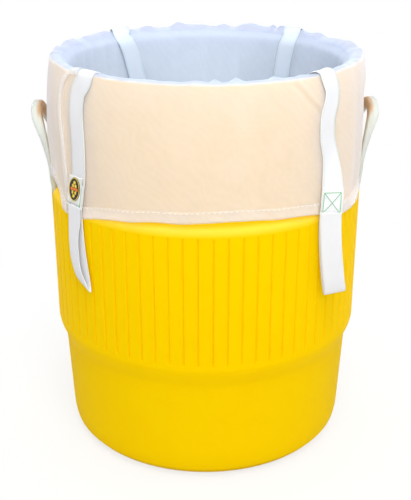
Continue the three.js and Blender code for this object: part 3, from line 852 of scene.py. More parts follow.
# ------------------------------------------------------------------ handles
# Handle side view: (height above the pivot, inner face, outer face), faces from PIVOT_R
BOW = np.array([
    (-3.7, 0, 0), (0, -3.7, 3.7), (10, -1.3, 5), (20, 0.7, 6.2), (39, 2.2, 7.7),
    (55, 4.6, 11.1), (72, 7.2, 15.6), (84, 9.6, 20.7), (95, 12.8, 25.3), (104, 15.0, 27.4),
    (111, 16.0, 27.2),
])
HANDLE_TOP = 103.7  # centre line height of the grip above the pivot
ARM_TOP = 62.0  # where the arms turn into the bow
ARM_TOP_Y = 37.0  # the arms draw in towards this distance
EYE_R = 3.7  # rounded lower end of each arm
SECTION_POINTS = 28
SECTION_POWER = 0.42  # superellipse: flat sides, round corners


def handle_path():
    """Centre line up one arm, over and down the other: (y, height, heading in degrees)."""
    path = []
    for s in np.concatenate([[-3.66, -3.3, -2.5, -1.4, 0.0], np.linspace(3, ARM_TOP, 18)]):
        drawn_in = (ARM_Y - ARM_TOP_Y) * smooth_step(5, ARM_TOP + 25, s)
        path.append((ARM_Y - drawn_in, s, 90.0))
    join_y = path[-1][0]
    rise = HANDLE_TOP - ARM_TOP
    for angle in np.linspace(0, 90, 22)[1:]:
        c, s = cosd(angle), sind(angle)
        heading = 90 + math.degrees(math.atan2(s * join_y, c * rise))
        path.append((join_y * c**0.86, ARM_TOP + rise * s**0.94, heading))
    return path + [(-y, s, 360 - heading) for y, s, heading in path[::-1][1:]]


def handle_section(y, s, heading):
    angle = TAU * np.arange(SECTION_POINTS) / SECTION_POINTS
    half = 4.9 + 1.1 * smooth_step(60, 100, s)
    w = signed_power(np.cos(angle), SECTION_POWER) * half
    ys, heights = y + sind(heading) * w, s - cosd(heading) * w
    if s < 0:
        high = math.sqrt(max(0.02, EYE_R**2 - s * s))
        low = -high
    else:
        low = np.interp(heights, BOW[:, 0], BOW[:, 1])
        high = np.interp(heights, BOW[:, 0], BOW[:, 2])
    x = (low + high) / 2 + signed_power(np.sin(angle), SECTION_POWER) * (high - low) / 2
    return np.stack([PIVOT_R + x, ys, PIVOT_Z + heights], -1)


def build_handle(side, word):
    rings = np.array([handle_section(*station) for station in handle_path()])
    rings = rings * (side, side, 1)
    verts, faces = sweep(rings, rings[[0, -1]].mean(1))
    x, y, z = verts.T
    # painted shade on the inner face of the grip, which faces the tub
    grip = smooth_step(PIVOT_Z + 70, PIVOT_Z + 92, z)
    grip = grip * (1 - 0.92 * smooth_step(25, 36, np.abs(y)))
    ring_x = np.append(np.repeat(np.abs(rings[..., 0]).mean(1), SECTION_POINTS), [0, 0])
    obj = add_mesh(
        "carry_handle_" + word, verts, faces, HANDLE_IVORY,
        attrs={"inner": grip * (np.abs(x) < ring_x - 0.5)},
        body="handle_" + word, replaces="handle_" + word, slot="handle_plastic")
    obj.data.set_sharp_from_angle(angle=math.radians(60))


build_handle(1, "right")
build_handle(-1, "left")

# ------------------------------------------------------------------ bag shape
HEM = [  # (azimuth, z) of the skirt's lower edge
    (-180, 349), (-150, 344), (-120, 348), (-105, 352), (-92, 357), (-84, 361), (-77, 362),
    (-73, 361), (-69.5, 356), (-65.8, 347.5), (-61, 332), (-50.7, 331.6), (-40, 338.7),
    (-31.7, 343), (-20.7, 347.2), (-10.7, 349), (-2.7, 349.6), (5.4, 350), (15.3, 348.9),
    (24.4, 346.8), (34.7, 344), (43, 339), (52, 333.5), (60, 332), (67, 335), (73, 341),
    (80, 347), (90, 350), (105, 350), (125, 348), (145, 345),
]
SKIRT = [  # (z, radius)
    (330, 199.2), (340, 198.2), (349, 196.9), (371, 197.5), (397, 197.9), (423, 197.5),
    (449, 196.4), (463.5, 195.2), (478, 193.5), (489, 192.0), (497, 190.6),
]
SLEEVE = [  # (z, radius) inside the tub
    (35, 145.4), (70, 148.2), (250, 158.6), (400, 164.6), (462, 167.2), (476, 168.2),
    (486, 169.2), (492, 170.6), (497, 176.2),
]
TUCK = [(340, 191.6), (347, 192.0), (353, 193.4), (362, 195.4), (375, 197.2)]  # (z, radius)
CREASE = [(26.5, 506), (29.6, 496), (33.4, 482), (38.2, 466), (41, 455)]  # (azimuth, z)
SEAM = [  # (z, azimuth) of the side seam
    (505, -52.6), (496, -56.6), (484, -59.4), (475, -60.3), (461, -60.8), (446, -60.4),
    (431, -59.6), (414, -58.8), (399, -58.4), (385, -58.2), (365, -58.0), (340, -58.0),
]
CREST_BUMPS = [  # (azimuth, half width, height) along the rim fold
    (157, 6, 2.2), (151, 4, 1.6), (146.9, 1.6, 3.6), (145.2, 1.0, -4.5), (140, 4.5, 3.0),
    (132, 4, 1.8), (116.5, 3.5, -2.6), (104, 5, 2.8), (91, 5, 1.5), (164.7, 2, -1.8),
    (-152, 4, -1.2), (-171, 5, 1.0),
]
PUCKERS = [  # (azimuth, half width, height) on the rim
    (0.7, 2.3, 5.0), (8.2, 3.0, 5.4), (21.9, 2.6, 4.2), (33.0, 3.4, 2.0), (-22.0, 5.0, 1.0),
]

# Ripples of the cloth, made in this order because each one draws random phases
hem_waves = Waves((5, 0.5), (9, 0.4), (14, 0.35), (23, 0.25))
skirt_broad = Waves((6, 0.7), (9, 0.6), (13, 0.45))
skirt_fine = Waves((17, 0.30), (22, 0.28), (29, 0.22), (37, 0.16))
crest_waves = Waves((11, 0.5), (17, 0.75), (24, 0.8), (31, 0.7), (39, 0.5), (53, 0.3))
rim_waves = Waves((21, 0.8), (33, 0.7), (47, 0.5))
sleeve_broad = Waves((9, 0.9), (14, 1.0), (19, 0.9), (26, 0.6))
sleeve_fine = Waves((7, 1.3), (12, 1.2), (17, 1.0), (23, 0.8), (34, 0.4))


def hem_height(azimuth):
    return ring_curve(HEM, azimuth) + hem_waves(azimuth)


def behind_arms(radius, azimuth, z, slack=0.0):
    """Hold cloth back where the handle arms pass in front of it."""
    y = 197 * np.abs(cosd(azimuth))
    height = np.clip(z - PIVOT_Z, 0, BOW[-1, 0])
    arm_x = PIVOT_R + np.interp(height, BOW[1:, 0], BOW[1:, 1]) - 1.3
    limit = arm_x / np.maximum(np.abs(sind(azimuth)), 0.2) + slack
    near = smooth_step(30, 35.0, y) * (1 - smooth_step(47.5, 53, y))
    return np.where(radius > limit, radius * (1 - near) + limit * near, radius)


def skirt_radius(azimuth, z):
    azimuth, z = np.broadcast_arrays(np.asarray(azimuth, float), np.asarray(z, float))
    low = 1 - smooth_step(360, 470, z)
    r = curve(SKIRT, z) + skirt_broad(azimuth) * (0.35 + 0.5 * low)
    r = r + skirt_fine(azimuth, z * 0.012) * (0.5 + 0.6 * low)
    # cloth gathered at the seam
    off_seam = wrap_degrees(azimuth - curve(SEAM, z))
    r = r + 1.8 * hill(off_seam, 0, 1.3) - 1.5 * hill(off_seam, 3.2, 1.7)
    r = r + 0.9 * hill(off_seam, -3.6, 2.2)
    # and pulled beside the front left strap
    fade = smooth_step(345, 380, z) * (1 - smooth_step(480, 500, z))
    folds = 0.9 * hill(azimuth, -42.5, 1.5) - 0.7 * hill(azimuth, -39.5, 1.4)
    r = r - fade * (folds + 0.5 * hill(azimuth, -36.6, 1.6))
    # a slanting crease from the rim towards the front right strap
    crease_z = curve(CREASE, azimuth)
    crease = smooth_step(24, 28, azimuth) * (1 - smooth_step(37, 41, azimuth))
    r = r + crease * (1.5 * hill(z, crease_z, 3.2) - 1.0 * hill(z, crease_z - 7, 5))
    # the lower end of the front right strap pulls the cloth out a little
    r = r + 2.2 * hill(azimuth, 50, 6) * (1 - smooth_step(350, 392, z))
    # the hem tucks in over the shoulder behind the left handle
    tuck = smooth_step(-100, -92, azimuth) * (1 - smooth_step(-74, -67, azimuth))
    tuck = tuck * (1 - smooth_step(352, 372, z))
    r = r * (1 - tuck) + tuck * curve(TUCK, z)
    # the top bulges on the right side
    r = r + 4.5 * hill(wrap_degrees(azimuth - 92), 0, 22) * smooth_step(448, 478, z)
    r = behind_arms(r, azimuth, z)
    radii, heights = np.array(SHELL_OUTER[1:]).T
    return np.maximum(r, np.interp(np.clip(z, 26, 493), heights, radii) + 1.0)


def sleeve_radius(azimuth, z):
    deep = 1 - smooth_step(250, 500, z)
    up = smooth_step(30, 60, z)
    folds = sleeve_broad(azimuth, z * 0.006) * (0.55 + 0.5 * deep)
    folds = folds + sleeve_fine(azimuth, -z * 0.004) * (0.25 + 0.8 * deep) * up
    folds = folds * (1 - 0.6 * smooth_step(484, FOLD_Z, z))
    return curve(SLEEVE, z) - 1.6 * up - np.abs(folds) * 0.75 * up + 0.4


def crest_height(azimuth):
    back = 0.5 - 0.5 * cosd(azimuth)  # 1 at the back
    height = 503.2 + crest_waves(azimuth) * (0.45 + 0.85 * back)
    for centre, half, rise in CREST_BUMPS:
        height = height + rise * hill(wrap_degrees(azimuth - centre), 0, half)
    return np.maximum(height, 501.4)


def rim_arc(turn, outer_r, inner_r, top):
    """Radius, height and rise (0..1) over the rim, as turn goes 0 outside to 1 inside."""
    across, rise = np.cos(turn * math.pi), np.sin(turn * math.pi)
    r = (outer_r + inner_r) / 2 + (outer_r - inner_r) / 2 * signed_power(across, 0.8)
    sag = 1 - 0.7 * smooth_step(0.35, 1.0, turn)
    return r, FOLD_Z + (top - FOLD_Z) * np.abs(rise) ** 0.62 * sag, rise


def cloth_point(azimuth, v):
    """Radius and height: v is 0..1 up the skirt, 1..2 over the rim, 2..3 down inside."""
    hem = hem_height(azimuth)
    skirt_z = hem + (FOLD_Z - hem) * np.clip(v, 0, 1)
    skirt_r = skirt_radius(azimuth, skirt_z)

    turn = np.clip(v - 1, 0, 1)
    rim_r, rim_z, rise = rim_arc(
        turn, skirt_radius(azimuth, FOLD_Z), sleeve_radius(azimuth, FOLD_Z),
        crest_height(azimuth))
    rim_r = rim_r + rim_waves(azimuth, turn * 2.0) * 0.55 * rise
    for centre, half, height in PUCKERS:
        ridge = np.clip(1 - np.abs(wrap_degrees(azimuth - centre)) / half, 0, 1) ** 0.8
        pucker = height * ridge * hill(turn, 0.74, 0.2)
        rim_z = rim_z + pucker
        rim_r = rim_r - pucker * 0.35

    sleeve_z = FOLD_Z - (FOLD_Z - 35.5) * np.clip(v - 2, 0, 1) ** 1.15
    sleeve_r = sleeve_radius(azimuth, sleeve_z)
    r = np.where(v <= 1, skirt_r, np.where(v <= 2, rim_r, sleeve_r))
    z = np.where(v <= 1, skirt_z, np.where(v <= 2, rim_z, sleeve_z))
    return r, z


# ------------------------------------------------------------------ bag pieces
BAG_COLUMNS = 600
BAG_AZIMUTHS = np.arange(BAG_COLUMNS) * 360.0 / BAG_COLUMNS
FLOOR_R = 144
FLOOR_Z = 29.9


def build_bag_wall():
    rows = [np.linspace(0, 1, 64)[:-1], np.linspace(1, 2, 28)[:-1], 2 + np.linspace(0, 1, 60)]
    azimuth, v = np.meshgrid(BAG_AZIMUTHS, np.concatenate(rows), indexing="ij")
    points = polar(azimuth, *cloth_point(azimuth, v))
    steps = np.linalg.norm(np.diff(points, axis=1), axis=-1)
    along = np.concatenate([np.zeros((BAG_COLUMNS, 1)), np.cumsum(steps, 1)], 1)
    # the rim mask carries painted cool shade over the rim fold, weaker at the front
    rim = smooth_step(1.14, 1.3, v) * (1 - smooth_step(1.85, 2.15, v))
    rim = rim * (0.35 + 0.65 * smooth_step(60, 110, np.abs(wrap_degrees(azimuth))))
    sheet("bag_mesh_wall", points, 0.45, MESH, centre_z=250, body="bag", slot="mesh",
          replaces="strainer_bag_wall", attrs={
              "along": along,
              "round": np.deg2rad(azimuth) * 190,
              "region": smooth_step(1.08, 1.36, v),
              "dense": 0.22 * hill(v, 1.3, 0.35),
              "rim": rim,
          })


def build_bag_floor():
    """One disc that sags a little inside its seam."""
    thick = 0.5
    radii = np.concatenate([[0.8], np.linspace(6, 143.8, 40)])
    azimuth, r = np.meshgrid(np.arange(180) * 2.0, radii, indexing="ij")
    ripple = sleeve_broad(azimuth) * 0.35 * (r / FLOOR_R) ** 2
    z = FLOOR_Z + 1.6 * (r / FLOOR_R) ** 4 + ripple + 4.0 * smooth_step(138, FLOOR_R, r)
    nu, nv = r.shape
    top = polar(azimuth, r, z).reshape(-1, 3)
    centres = [[0, 0, FLOOR_Z], [0, 0, FLOOR_Z - thick]]
    verts = np.concatenate([top, top - (0, 0, thick), centres])
    count = nu * nv
    shown = grid_faces(nu, nv, True, False)
    inner_ring = np.arange(nu) * nv
    edge = inner_ring + nv - 1
    faces = [
        shown,
        shown[:, ::-1] + count,
        wall(edge, np.roll(edge, -1), count)[:, ::-1],
        fan(2 * count, inner_ring),
        fan(2 * count + 1, count + inner_ring)[:, ::-1],
    ]
    add_mesh("bag_mesh_floor", verts, faces, MESH, body="bag", slot="mesh",
             replaces="strainer_bag_floor", attrs={
                 "along": verts[:, 1],
                 "round": verts[:, 0],
                 "region": np.ones(len(verts)),
                 "dense": np.zeros(len(verts)),
             })


def build_hem():
    """The skirt's edge turned up and sewn: a double layer just outside the wall."""
    azimuth, v = np.meshgrid(BAG_AZIMUTHS, np.linspace(0, 1, 14), indexing="ij")
    z = hem_height(azimuth) - 0.8 + 13.6 * v
    r = skirt_radius(azimuth, z) + 0.55 + 0.35 * np.sin(math.pi * v) ** 0.5
    r = behind_arms(r, azimuth, z, slack=0.5)
    sheet("bag_hem_band", polar(azimuth, r, z), 0.5, MESH_DOUBLE, centre_z=250, body="bag",
          slot="hem", replaces="skirt_hem", attrs={
              "along": z,
              "round": np.deg2rad(azimuth) * 197,
              "region": np.zeros_like(z),
              "dense": 0.3 * np.clip(np.exp(-v * 6) + hill(v, 0.93, 0.05), 0, 1),
          })
    # the line of stitches along the hem's top edge
    stitches = []
    for start in BAG_AZIMUTHS[::3]:
        azimuth = np.linspace(start, start + 0.85, 4)
        z = hem_height(azimuth) + 11.4
        r = behind_arms(skirt_radius(azimuth, z), azimuth, z, slack=0.5)
        stitches.append(tube(polar(azimuth, r + 0.92, z), [0.07, 0.14, 0.14, 0.07], 6))
    add_mesh("hem_stitching", *join(stitches), CLOTH_THREAD, body="bag", slot="hem")


def build_side_seam():
    """Folded edges over the skirt, carried over the rim and a little way down inside."""
    half_width = 4.6
    across = np.linspace(-1, 1, 9)[:, None]
    lift = 0.85 + 0.4 * (1 - across**2)
    z = np.linspace(346, FOLD_Z, 90)[None]
    azimuth = curve(SEAM, z) + across * np.degrees(half_width / 195)
    skirt_part = polar(azimuth, skirt_radius(azimuth, z) + lift, z)

    azimuth, v = np.broadcast_arrays(
        curve(SEAM, 505) + across * np.degrees(half_width / 185), np.linspace(1.02, 2.2, 40))
    rim_part = polar(azimuth, *cloth_point(azimuth, v))
    normals = grid_normals(rim_part, False)
    facing = np.sum(normals[:, 0] * (rim_part[:, 0] - (0, 0, FOLD_Z)), -1).mean()
    rim_part = rim_part + normals * np.sign(facing) * lift[..., None]

    points = np.concatenate([skirt_part, rim_part], 1)
    shape = points.shape[:2]
    sheet("bag_side_seam", points, 0.45, MESH_DOUBLE, centre_z=300, wrap_u=False, body="bag",
          slot="hem", attrs={
              "along": points[..., 2],
              "round": np.broadcast_to(across * 3, shape),
              "region": np.zeros(shape),
              "dense": np.full(shape, 0.8),
          })


def build_floor_seam():
    ripple = sleeve_broad(BAG_AZIMUTHS)
    path = polar(BAG_AZIMUTHS, 146.2 + ripple * 0.15, 33.6 + ripple * 0.2)
    add_mesh("floor_seam_roll", *tube(path, 1.15, 10, closed=True), PALE_THREAD, body="bag",
             slot="hem", replaces="floor_seam_binding")


build_bag_wall()
build_bag_floor()
build_hem()
build_side_seam()
build_floor_seam()


# ------------------------------------------------------------------ webbing tools
def ribbon(path, across, normals, width, thick):
    """A flat strap. Returns vertices, faces, and each vertex's place along and across."""
    x = np.linspace(-1, 1, 17)
    half_thick = thick / 2 * (1 - np.abs(x) ** 6 * 0.55)
    x = x * width / 2
    section_x = np.concatenate([x, x[::-1]])
    section_n = np.concatenate([half_thick, -half_thick[::-1]])
    rings = path[:, None] + across[:, None] * section_x[:, None]
    rings = rings + normals[:, None] * section_n[:, None]
    lengths = np.linalg.norm(np.diff(path, axis=0), axis=1)
    s = np.concatenate([[0], np.cumsum(lengths)])
    along = np.concatenate([np.repeat(s, len(section_x)), s[[0, -1]]])
    place_across = np.concatenate([np.tile(section_x, len(path)), [0, 0]])
    return *sweep(rings, path[[0, -1]]), along, place_across


def resample(path, extra, step):
    """Even steps along a path, with extra columns carried along."""
    lengths = np.linalg.norm(np.diff(path, axis=0), axis=1)
    s = np.concatenate([[0], np.cumsum(lengths)])
    t = np.linspace(0, s[-1], int(s[-1] / step))
    columns = np.hstack([path, extra]).T
    even = np.stack([np.interp(t, s, column) for column in columns], 1)
    return even[:, :3], even[:, 3:]


def smooth_line(line, passes):
    line = line.copy()
    for _ in range(passes):
        line[1:-1] = (line[:-2] + 2 * line[1:-1] + line[2:]) / 4
    return line


def square_frame(path, across):
    """Unit across and normal vectors, square to the path."""
    ahead = unit(np.gradient(path, axis=0))
    across = unit(across - ahead * np.sum(across * ahead, 1, keepdims=True))
    return across, np.cross(across, ahead)


# ------------------------------------------------------------------ sling straps
OUTSIDE = {  # (z, azimuth) of each strap end on the skirt
    "front_left": [
        (505, -46.2), (496, -46.4), (482, -49.5), (460, -50.2), (437, -49.6), (414, -49.3),
        (388, -49.6), (370, -50.6), (345, -51.5)],
    "front_right": [
        (505, 40.2), (496, 42.4), (484, 44.2), (467, 43.0), (451, 41.0), (434, 41.0),
        (409, 42.4), (381, 42.6), (345, 41.4)],
    "rear_right": [(505, 136.5), (480, 137.5), (430, 138.6), (345, 139.0)],
    "rear_left": [(505, -142.5), (480, -145.0), (430, -149.0), (345, -152.0)],
}
INSIDE = {  # (z, azimuth) of each strap inside the bag
    "front_left": [(497, -46.3), (300, -49.5), (60, -50)],
    "front_right": [(497, 41.0), (300, 44), (60, 46)],
    "rear_right": [(497, 135.3), (466, 137.0), (440, 138.0), (300, 138.8), (60, 139)],
    "rear_left": [
        (497, -141.0), (479, -143.6), (461, -145.2), (430, -147.5), (300, -151), (60, -152)],
}
STRAP_LOW = 348.0  # lower end of each sling strap
STRAP_HALF = 12.5
TWIST = 44  # degrees the front right strap's lower end turns to face the front


def strap_frame(end, z):
    """Centre, across and outward vectors of a strap end at a height on the skirt."""
    azimuth = float(curve(OUTSIDE[end], z))
    # the flat strap rides on the highest cloth under its width
    spread = np.linspace(-3.6, 3.6, 7)
    r = float(np.max(skirt_radius(azimuth + spread, max(z, STRAP_LOW)) * cosd(spread)))
    centre = polar(azimuth, r + 1.15 + 2.2 * hill(z, STRAP_LOW, 14), z)
    side, out = tangent(azimuth), outward(azimuth)
    twist = TWIST * (1 - smooth_step(352, 425, z)) if end == "front_right" else 0
    # it turns about its edge nearest the front, which stays on the cloth
    across = side * cosd(twist) + out * sind(twist)
    centre = centre + (across - side) * STRAP_HALF + out * 0.25 * twist / TWIST
    return centre, across, out * cosd(twist) - side * sind(twist)


def strap_half(end, floor_z):
    """Path and across vectors from the tab over the rim, down inside, to mid floor."""
    outer, inner = OUTSIDE[end], INSIDE[end]
    frames = [strap_frame(end, z) for z in np.linspace(STRAP_LOW, 496, 70)]

    stations = []  # (azimuth, radius, z)
    for turn in np.linspace(0.06, 0.94, 26):
        if turn < 0.5:
            azimuth = curve(outer, 496 + 9 * turn)
        else:
            share = (turn - 0.5) * 2
            azimuth = curve(inner, FOLD_Z) * share + curve(outer, 505) * (1 - share)
        top = crest_height(azimuth + np.linspace(-4, 4, 7)).max()
        # 1 mm clear of the cloth on both sides
        r, z, rise = rim_arc(turn, skirt_radius(azimuth, FOLD_Z) + 1.0,
                             sleeve_radius(azimuth, FOLD_Z) - 1.0, top)
        stations.append((azimuth, r, z + 1.1 * rise))
    for z in np.linspace(496, 50, 120):
        azimuth = curve(inner, z)
        wall_r = np.min(sleeve_radius(azimuth + np.linspace(-4.5, 4.5, 9), z)) - 1.2
        stations.append((azimuth, wall_r, z))
    # the bend on to the floor, then straight to the centre
    azimuth = curve(inner, 60)
    bend = 50 - floor_z
    for angle in np.linspace(0, 90, 9)[1:]:
        r = wall_r - bend * 0.6 * (1 - cosd(angle))
        stations.append((azimuth, r, 50 - bend * sind(angle)))
    stations += [(azimuth, radius, floor_z) for radius in np.linspace(r, 0, 40)[1:]]

    azimuths, radii, heights = np.array(stations, float).T
    path = np.concatenate([[f[0] for f in frames], polar(azimuths, radii, heights)])
    across = np.concatenate([[f[1] for f in frames], tangent(azimuths)])
    return path, across


def build_sling(letter, first_end, second_end, floor_z):
    path, across = strap_half(first_end, floor_z)
    second_path, second_across = strap_half(second_end, floor_z)
    path = np.concatenate([path, second_path[::-1][1:]])
    across = np.concatenate([across, -second_across[::-1][1:]])
    path, across = resample(path, across, step=3.0)
    path = smooth_line(path, 3)
    across, normals = square_frame(path, smooth_line(across, 6))
    verts, faces, along, place_across = ribbon(path, across, normals, 2 * STRAP_HALF, 1.25)
    r = np.hypot(verts[:, 0], verts[:, 1])
    # strap parts inside the bag get painted cool shade through the inside attribute
    shown = np.where(verts[:, 1] > 0, smooth_step(184, 192, r), smooth_step(173, 184, r))
    add_mesh("sling_webbing_" + letter, verts, faces, WEBBING, body="bag", slot="webbing",
             replaces="sling_strap_" + letter, attrs={
                 "along": along,
                 "across": place_across,
                 "inside": (1 - shown) * 0.92,
                 "trim": np.ones(len(verts)),
             })


build_sling("a", "front_left", "rear_right", floor_z=31.7)
build_sling("b", "front_right", "rear_left", floor_z=33.9)

# ------------------------------------------------------------------ tabs and lifting loops
TAB_LOW, TAB_HIGH = 345.0, 374.5
TAB_LIFT = 1.45  # tab centre above the strap centre
DOWN = np.array([0, 0, -1.0])
# How each loop hangs. slant: of its fold, degrees. curl: how far the outer layer's edge curls
# under. stations: (drop below the tab, outer stand-off, outer sideways drift, inner drift).
LOOPS = {
    "front_left": dict(slant=23, curl=0.24, stations=[
        (0, 0.4, 0, 0), (14, 2.0, 0.1, -0.4), (44, 3.6, 0.8, 1.8), (66, 4.2, 2.8, 5.6),
        (86, 3.2, 7.0, 9.8), (98.5, 1.2, 11.0, 11.2)]),
    "front_right": dict(slant=-13, curl=0.0, stations=[
        (0, 0.4, 0, 0), (12, 1.5, 0.3, -0.4), (44, 3.0, 2.6, 1.2), (82, 4.0, 7.2, 5.6),
        (95, 3.4, 9.4, 7.8), (100.5, 2.2, 10.2, 8.6)]),
    "rear_right": dict(slant=9, curl=0.0, stations=[
        (0, 0.4, 0, 0), (12, 2.2, 0, 0), (45, 6.5, 0.6, 1.2), (85, 9.0, 1.2, 2.6),
        (106, 9.4, 1.6, 3.4), (112, 7.2, 1.8, 3.8)]),
    "rear_left": dict(slant=-8, curl=0.0, stations=[
        (0, 0.4, 0, 0), (12, 2.0, 0, 0), (45, 5.8, -1.0, -0.4), (85, 8.2, -2.2, -1.0),
        (106, 8.6, -3.0, -1.6), (112, 6.6, -3.3, -2.0)]),
}


def webbing_attrs(along, across, trim):
    count = len(along)
    return {"along": along, "across": across, "inside": np.zeros(count),
            "trim": np.full(count, trim)}


def build_tab(end):
    """The loop's two ends, sewn over the strap."""
    frames = [strap_frame(end, z) for z in np.linspace(TAB_LOW, TAB_HIGH, 14)]
    path = np.array([centre + out * TAB_LIFT for centre, _, out in frames])
    across, normals = square_frame(path, np.array([side for _, side, _ in frames]))
    verts, faces, along, place_across = ribbon(path, across, normals, 25.2, 1.5)
    add_mesh("loop_tab_" + end + "_webbing", verts, faces, WEBBING, body="bag",
             slot="webbing", replaces="loop_tab_" + end,
             attrs=webbing_attrs(along, place_across, trim=0.5))


def build_box_stitch(end):
    """A box and cross of stitches on the tab."""
    half, low, high, pitch = 9.8, 345.9, 368.8, 2.4
    corners = np.array([(-half, low), (half, low), (half, high), (-half, high)])
    stitches = []
    for first, last in ((0, 1), (1, 2), (2, 3), (3, 0), (0, 2), (1, 3)):
        start, run = corners[first], corners[last] - corners[first]
        count = int(round(math.hypot(*run) / pitch))
        for i in range(count):
            points = []
            for t in np.linspace(0, 1, 5):
                x, z = start + run * (i + 0.06 + 0.88 * t) / count
                centre, across, out = strap_frame(end, z)
                lift = 2.2 + 0.15 + 0.2 * math.sin(math.pi * t)
                points.append(centre + across * x + out * lift)
            stitches.append(tube(points, [0.25, 0.5, 0.5, 0.5, 0.25], 6))
    add_mesh("box_stitch_" + end + "_thread", *join(stitches), GREEN_THREAD, body="bag",
             slot="thread", replaces="box_stitch_" + end)


def build_loop(end):
    """The hanging lifting loop: an inner layer, a tight fold and an outer layer."""
    loop = LOOPS[end]
    stations = np.array(loop["stations"], float)
    total = stations[-1, 0]
    root, side, out = strap_frame(end, TAB_LOW)
    root = root + out * TAB_LIFT

    def place(drop, outer):
        stand_off = curve(stations[:, [0, 1]], drop)
        drift = curve(stations[:, [0, 2 if outer else 3]], drop)
        if outer:
            off = stand_off + 0.95 * (1 - smooth_step(0, 14, drop)) + 0.2
        else:
            off = stand_off * 0.08 - (0.75 + 0.3 * smooth_step(0, 20, drop))
        return root + DOWN * drop + side * drift + out * off

    fold_r = 1.6
    drops = np.linspace(-2.0, total - fold_r, 40)
    slants = smooth_step(0.35 * total, total, drops)
    curls = smooth_step(8, 45, drops) * (1 - smooth_step(70, total - 4, drops)) * loop["curl"]
    inner = [place(drop, outer=False) for drop in drops]
    outer = [place(drop, outer=True) for drop in drops[::-1]]
    centre, arm = (inner[-1] + outer[0]) / 2, (outer[0] - inner[-1]) / 2
    fold = [centre - arm * cosd(angle) + DOWN * fold_r * sind(angle)
            for angle in np.linspace(0, 180, 13)[1:-1]]
    path = np.array(inner + fold + outer)
    slant = np.concatenate([slants, np.ones(len(fold)), slants[::-1]])
    curl = np.concatenate([np.zeros(len(inner) + len(fold)), curls[::-1]])
    path, extra = resample(path, np.stack([slant, curl], 1), step=2.2)
    slant, curl = extra[:, :1], extra[:, 1:]
    path = smooth_line(path, 3)
    # the curled edge narrows the strap; its fold runs slanting across it
    path = path - side * 12.4 * curl
    across = side * (1 - curl)
    normals = unit(np.cross(across, np.gradient(path, axis=0)))
    across = across + DOWN * slant * math.tan(math.radians(loop["slant"]))
    verts, faces, along, place_across = ribbon(path, across, normals, 24.8, 1.15)
    obj = add_mesh("lifting_loop_" + end + "_webbing", verts, faces, WEBBING,
                   attrs=webbing_attrs(along, place_across, trim=0.2))
    tuple((root - DOWN * 1.0) * MM)
    tuple((root + DOWN * 14.0) * MM)
    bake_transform(obj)
    register(obj, replaces="lifting_loop_" + end, slot="webbing")


for end in LOOPS:
    build_tab(end)
    build_box_stitch(end)
    build_loop(end)

# ------------------------------------------------------------------ label and badge
LABEL_Z, BADGE_Z = 366.0, 367.0
CELL_R = 2.75  # pitch radius of the badge's hexagons


def on_label(x, z, lift):
    """A point on the front left tab."""
    centre, across, out = strap_frame("front_left", z)
    return centre + across * (x - 1.6) + out * (2.35 + lift)


def badge_oval(half_x, half_z, count, lift):
    angles = np.arange(count) * TAU / count
    return [on_label(half_x * np.cos(a), BADGE_Z + half_z * np.sin(a), lift) for a in angles]


def build_label():
    x, y = np.meshgrid(np.linspace(-12.6, 12.0, 13), np.linspace(-17.8, 17.5, 17),
                       indexing="ij")
    lift = 0.55 + 0.25 * (x / 12) ** 2 + 0.5 * smooth_step(8, 17, y)
    lean = 0.04 * y
    points = [on_label(*place) for place in zip((x + lean).flat, (LABEL_Z + y).flat, lift.flat)]
    sheet("label_patch_cloth", np.array(points).reshape(*x.shape, 3), 0.45, LABEL_CLOTH,
          centre_z=300, wrap_u=False, body="bag", slot="label", replaces="label_patch",
          attrs={"along": y, "across": x})


def build_badge_ground():
    count, top = 72, 1.55
    verts = []
    # (share of full size, lift) from the base edge inwards
    for share, lift in ((1.0, 0.9), (1.0, top - 0.12), (0.97, top), (0.6, top + 0.08)):
        verts += badge_oval(10.6 * share, 14.6 * share, count, lift)
    verts.append(on_label(0, BADGE_Z, top + 0.1))
    rings = np.arange(4 * count).reshape(4, count)
    faces = [strip(ring, next_ring) for ring, next_ring in zip(rings[:-1], rings[1:])]
    faces.append(fan(4 * count, rings[-1])[:, ::-1])
    faces.append(rings[0][::-1])
    add_mesh("oval_badge_ground", verts, faces, BADGE_DARK, body="bag", slot="badge",
             replaces="oval_badge")


def build_cells(name, cells, material):
    """Raised hexagons, each with its middle a little higher."""
    radius = CELL_R * 0.90
    faces = [(k, (k + 1) % 6, 12) for k in range(6)]
    faces += [(6 + k, 6 + (k + 1) % 6, (k + 1) % 6, k) for k in range(6)]
    faces.append(tuple(range(11, 5, -1)))
    parts = []
    for x, z in cells:
        verts = [
            on_label(x + radius * cosd(60 * k + 30), BADGE_Z + z + radius * sind(60 * k + 30), lift)
            for lift in (1.66, 1.4) for k in range(6)
        ]
        verts.append(on_label(x, BADGE_Z + z, 1.78))
        parts.append((np.array(verts), faces))
    add_mesh(name, *join(parts), material, smooth=False, body="bag", slot="badge")


def build_badge():
    build_badge_ground()
    border = badge_oval(9.9, 13.9, 90, 1.62)
    add_mesh("oval_badge_border", *tube(border, 0.42, 8, closed=True), BADGE_GOLD,
             body="bag", slot="badge")
    gold, amber = [], []
    for row in range(-3, 4):
        for column in range(-3, 4):
            x = CELL_R * math.sqrt(3) * (column + 0.5 * (row % 2))
            z = CELL_R * 1.5 * row
            if (x / 7.0) ** 2 + (z / 10.6) ** 2 < 0.96:
                (gold if row else amber).append((x, z))
    build_cells("oval_badge_cells", gold, BADGE_GOLD)
    build_cells("oval_badge_centre_cells", amber, BADGE_AMBER)


build_label()
build_badge()


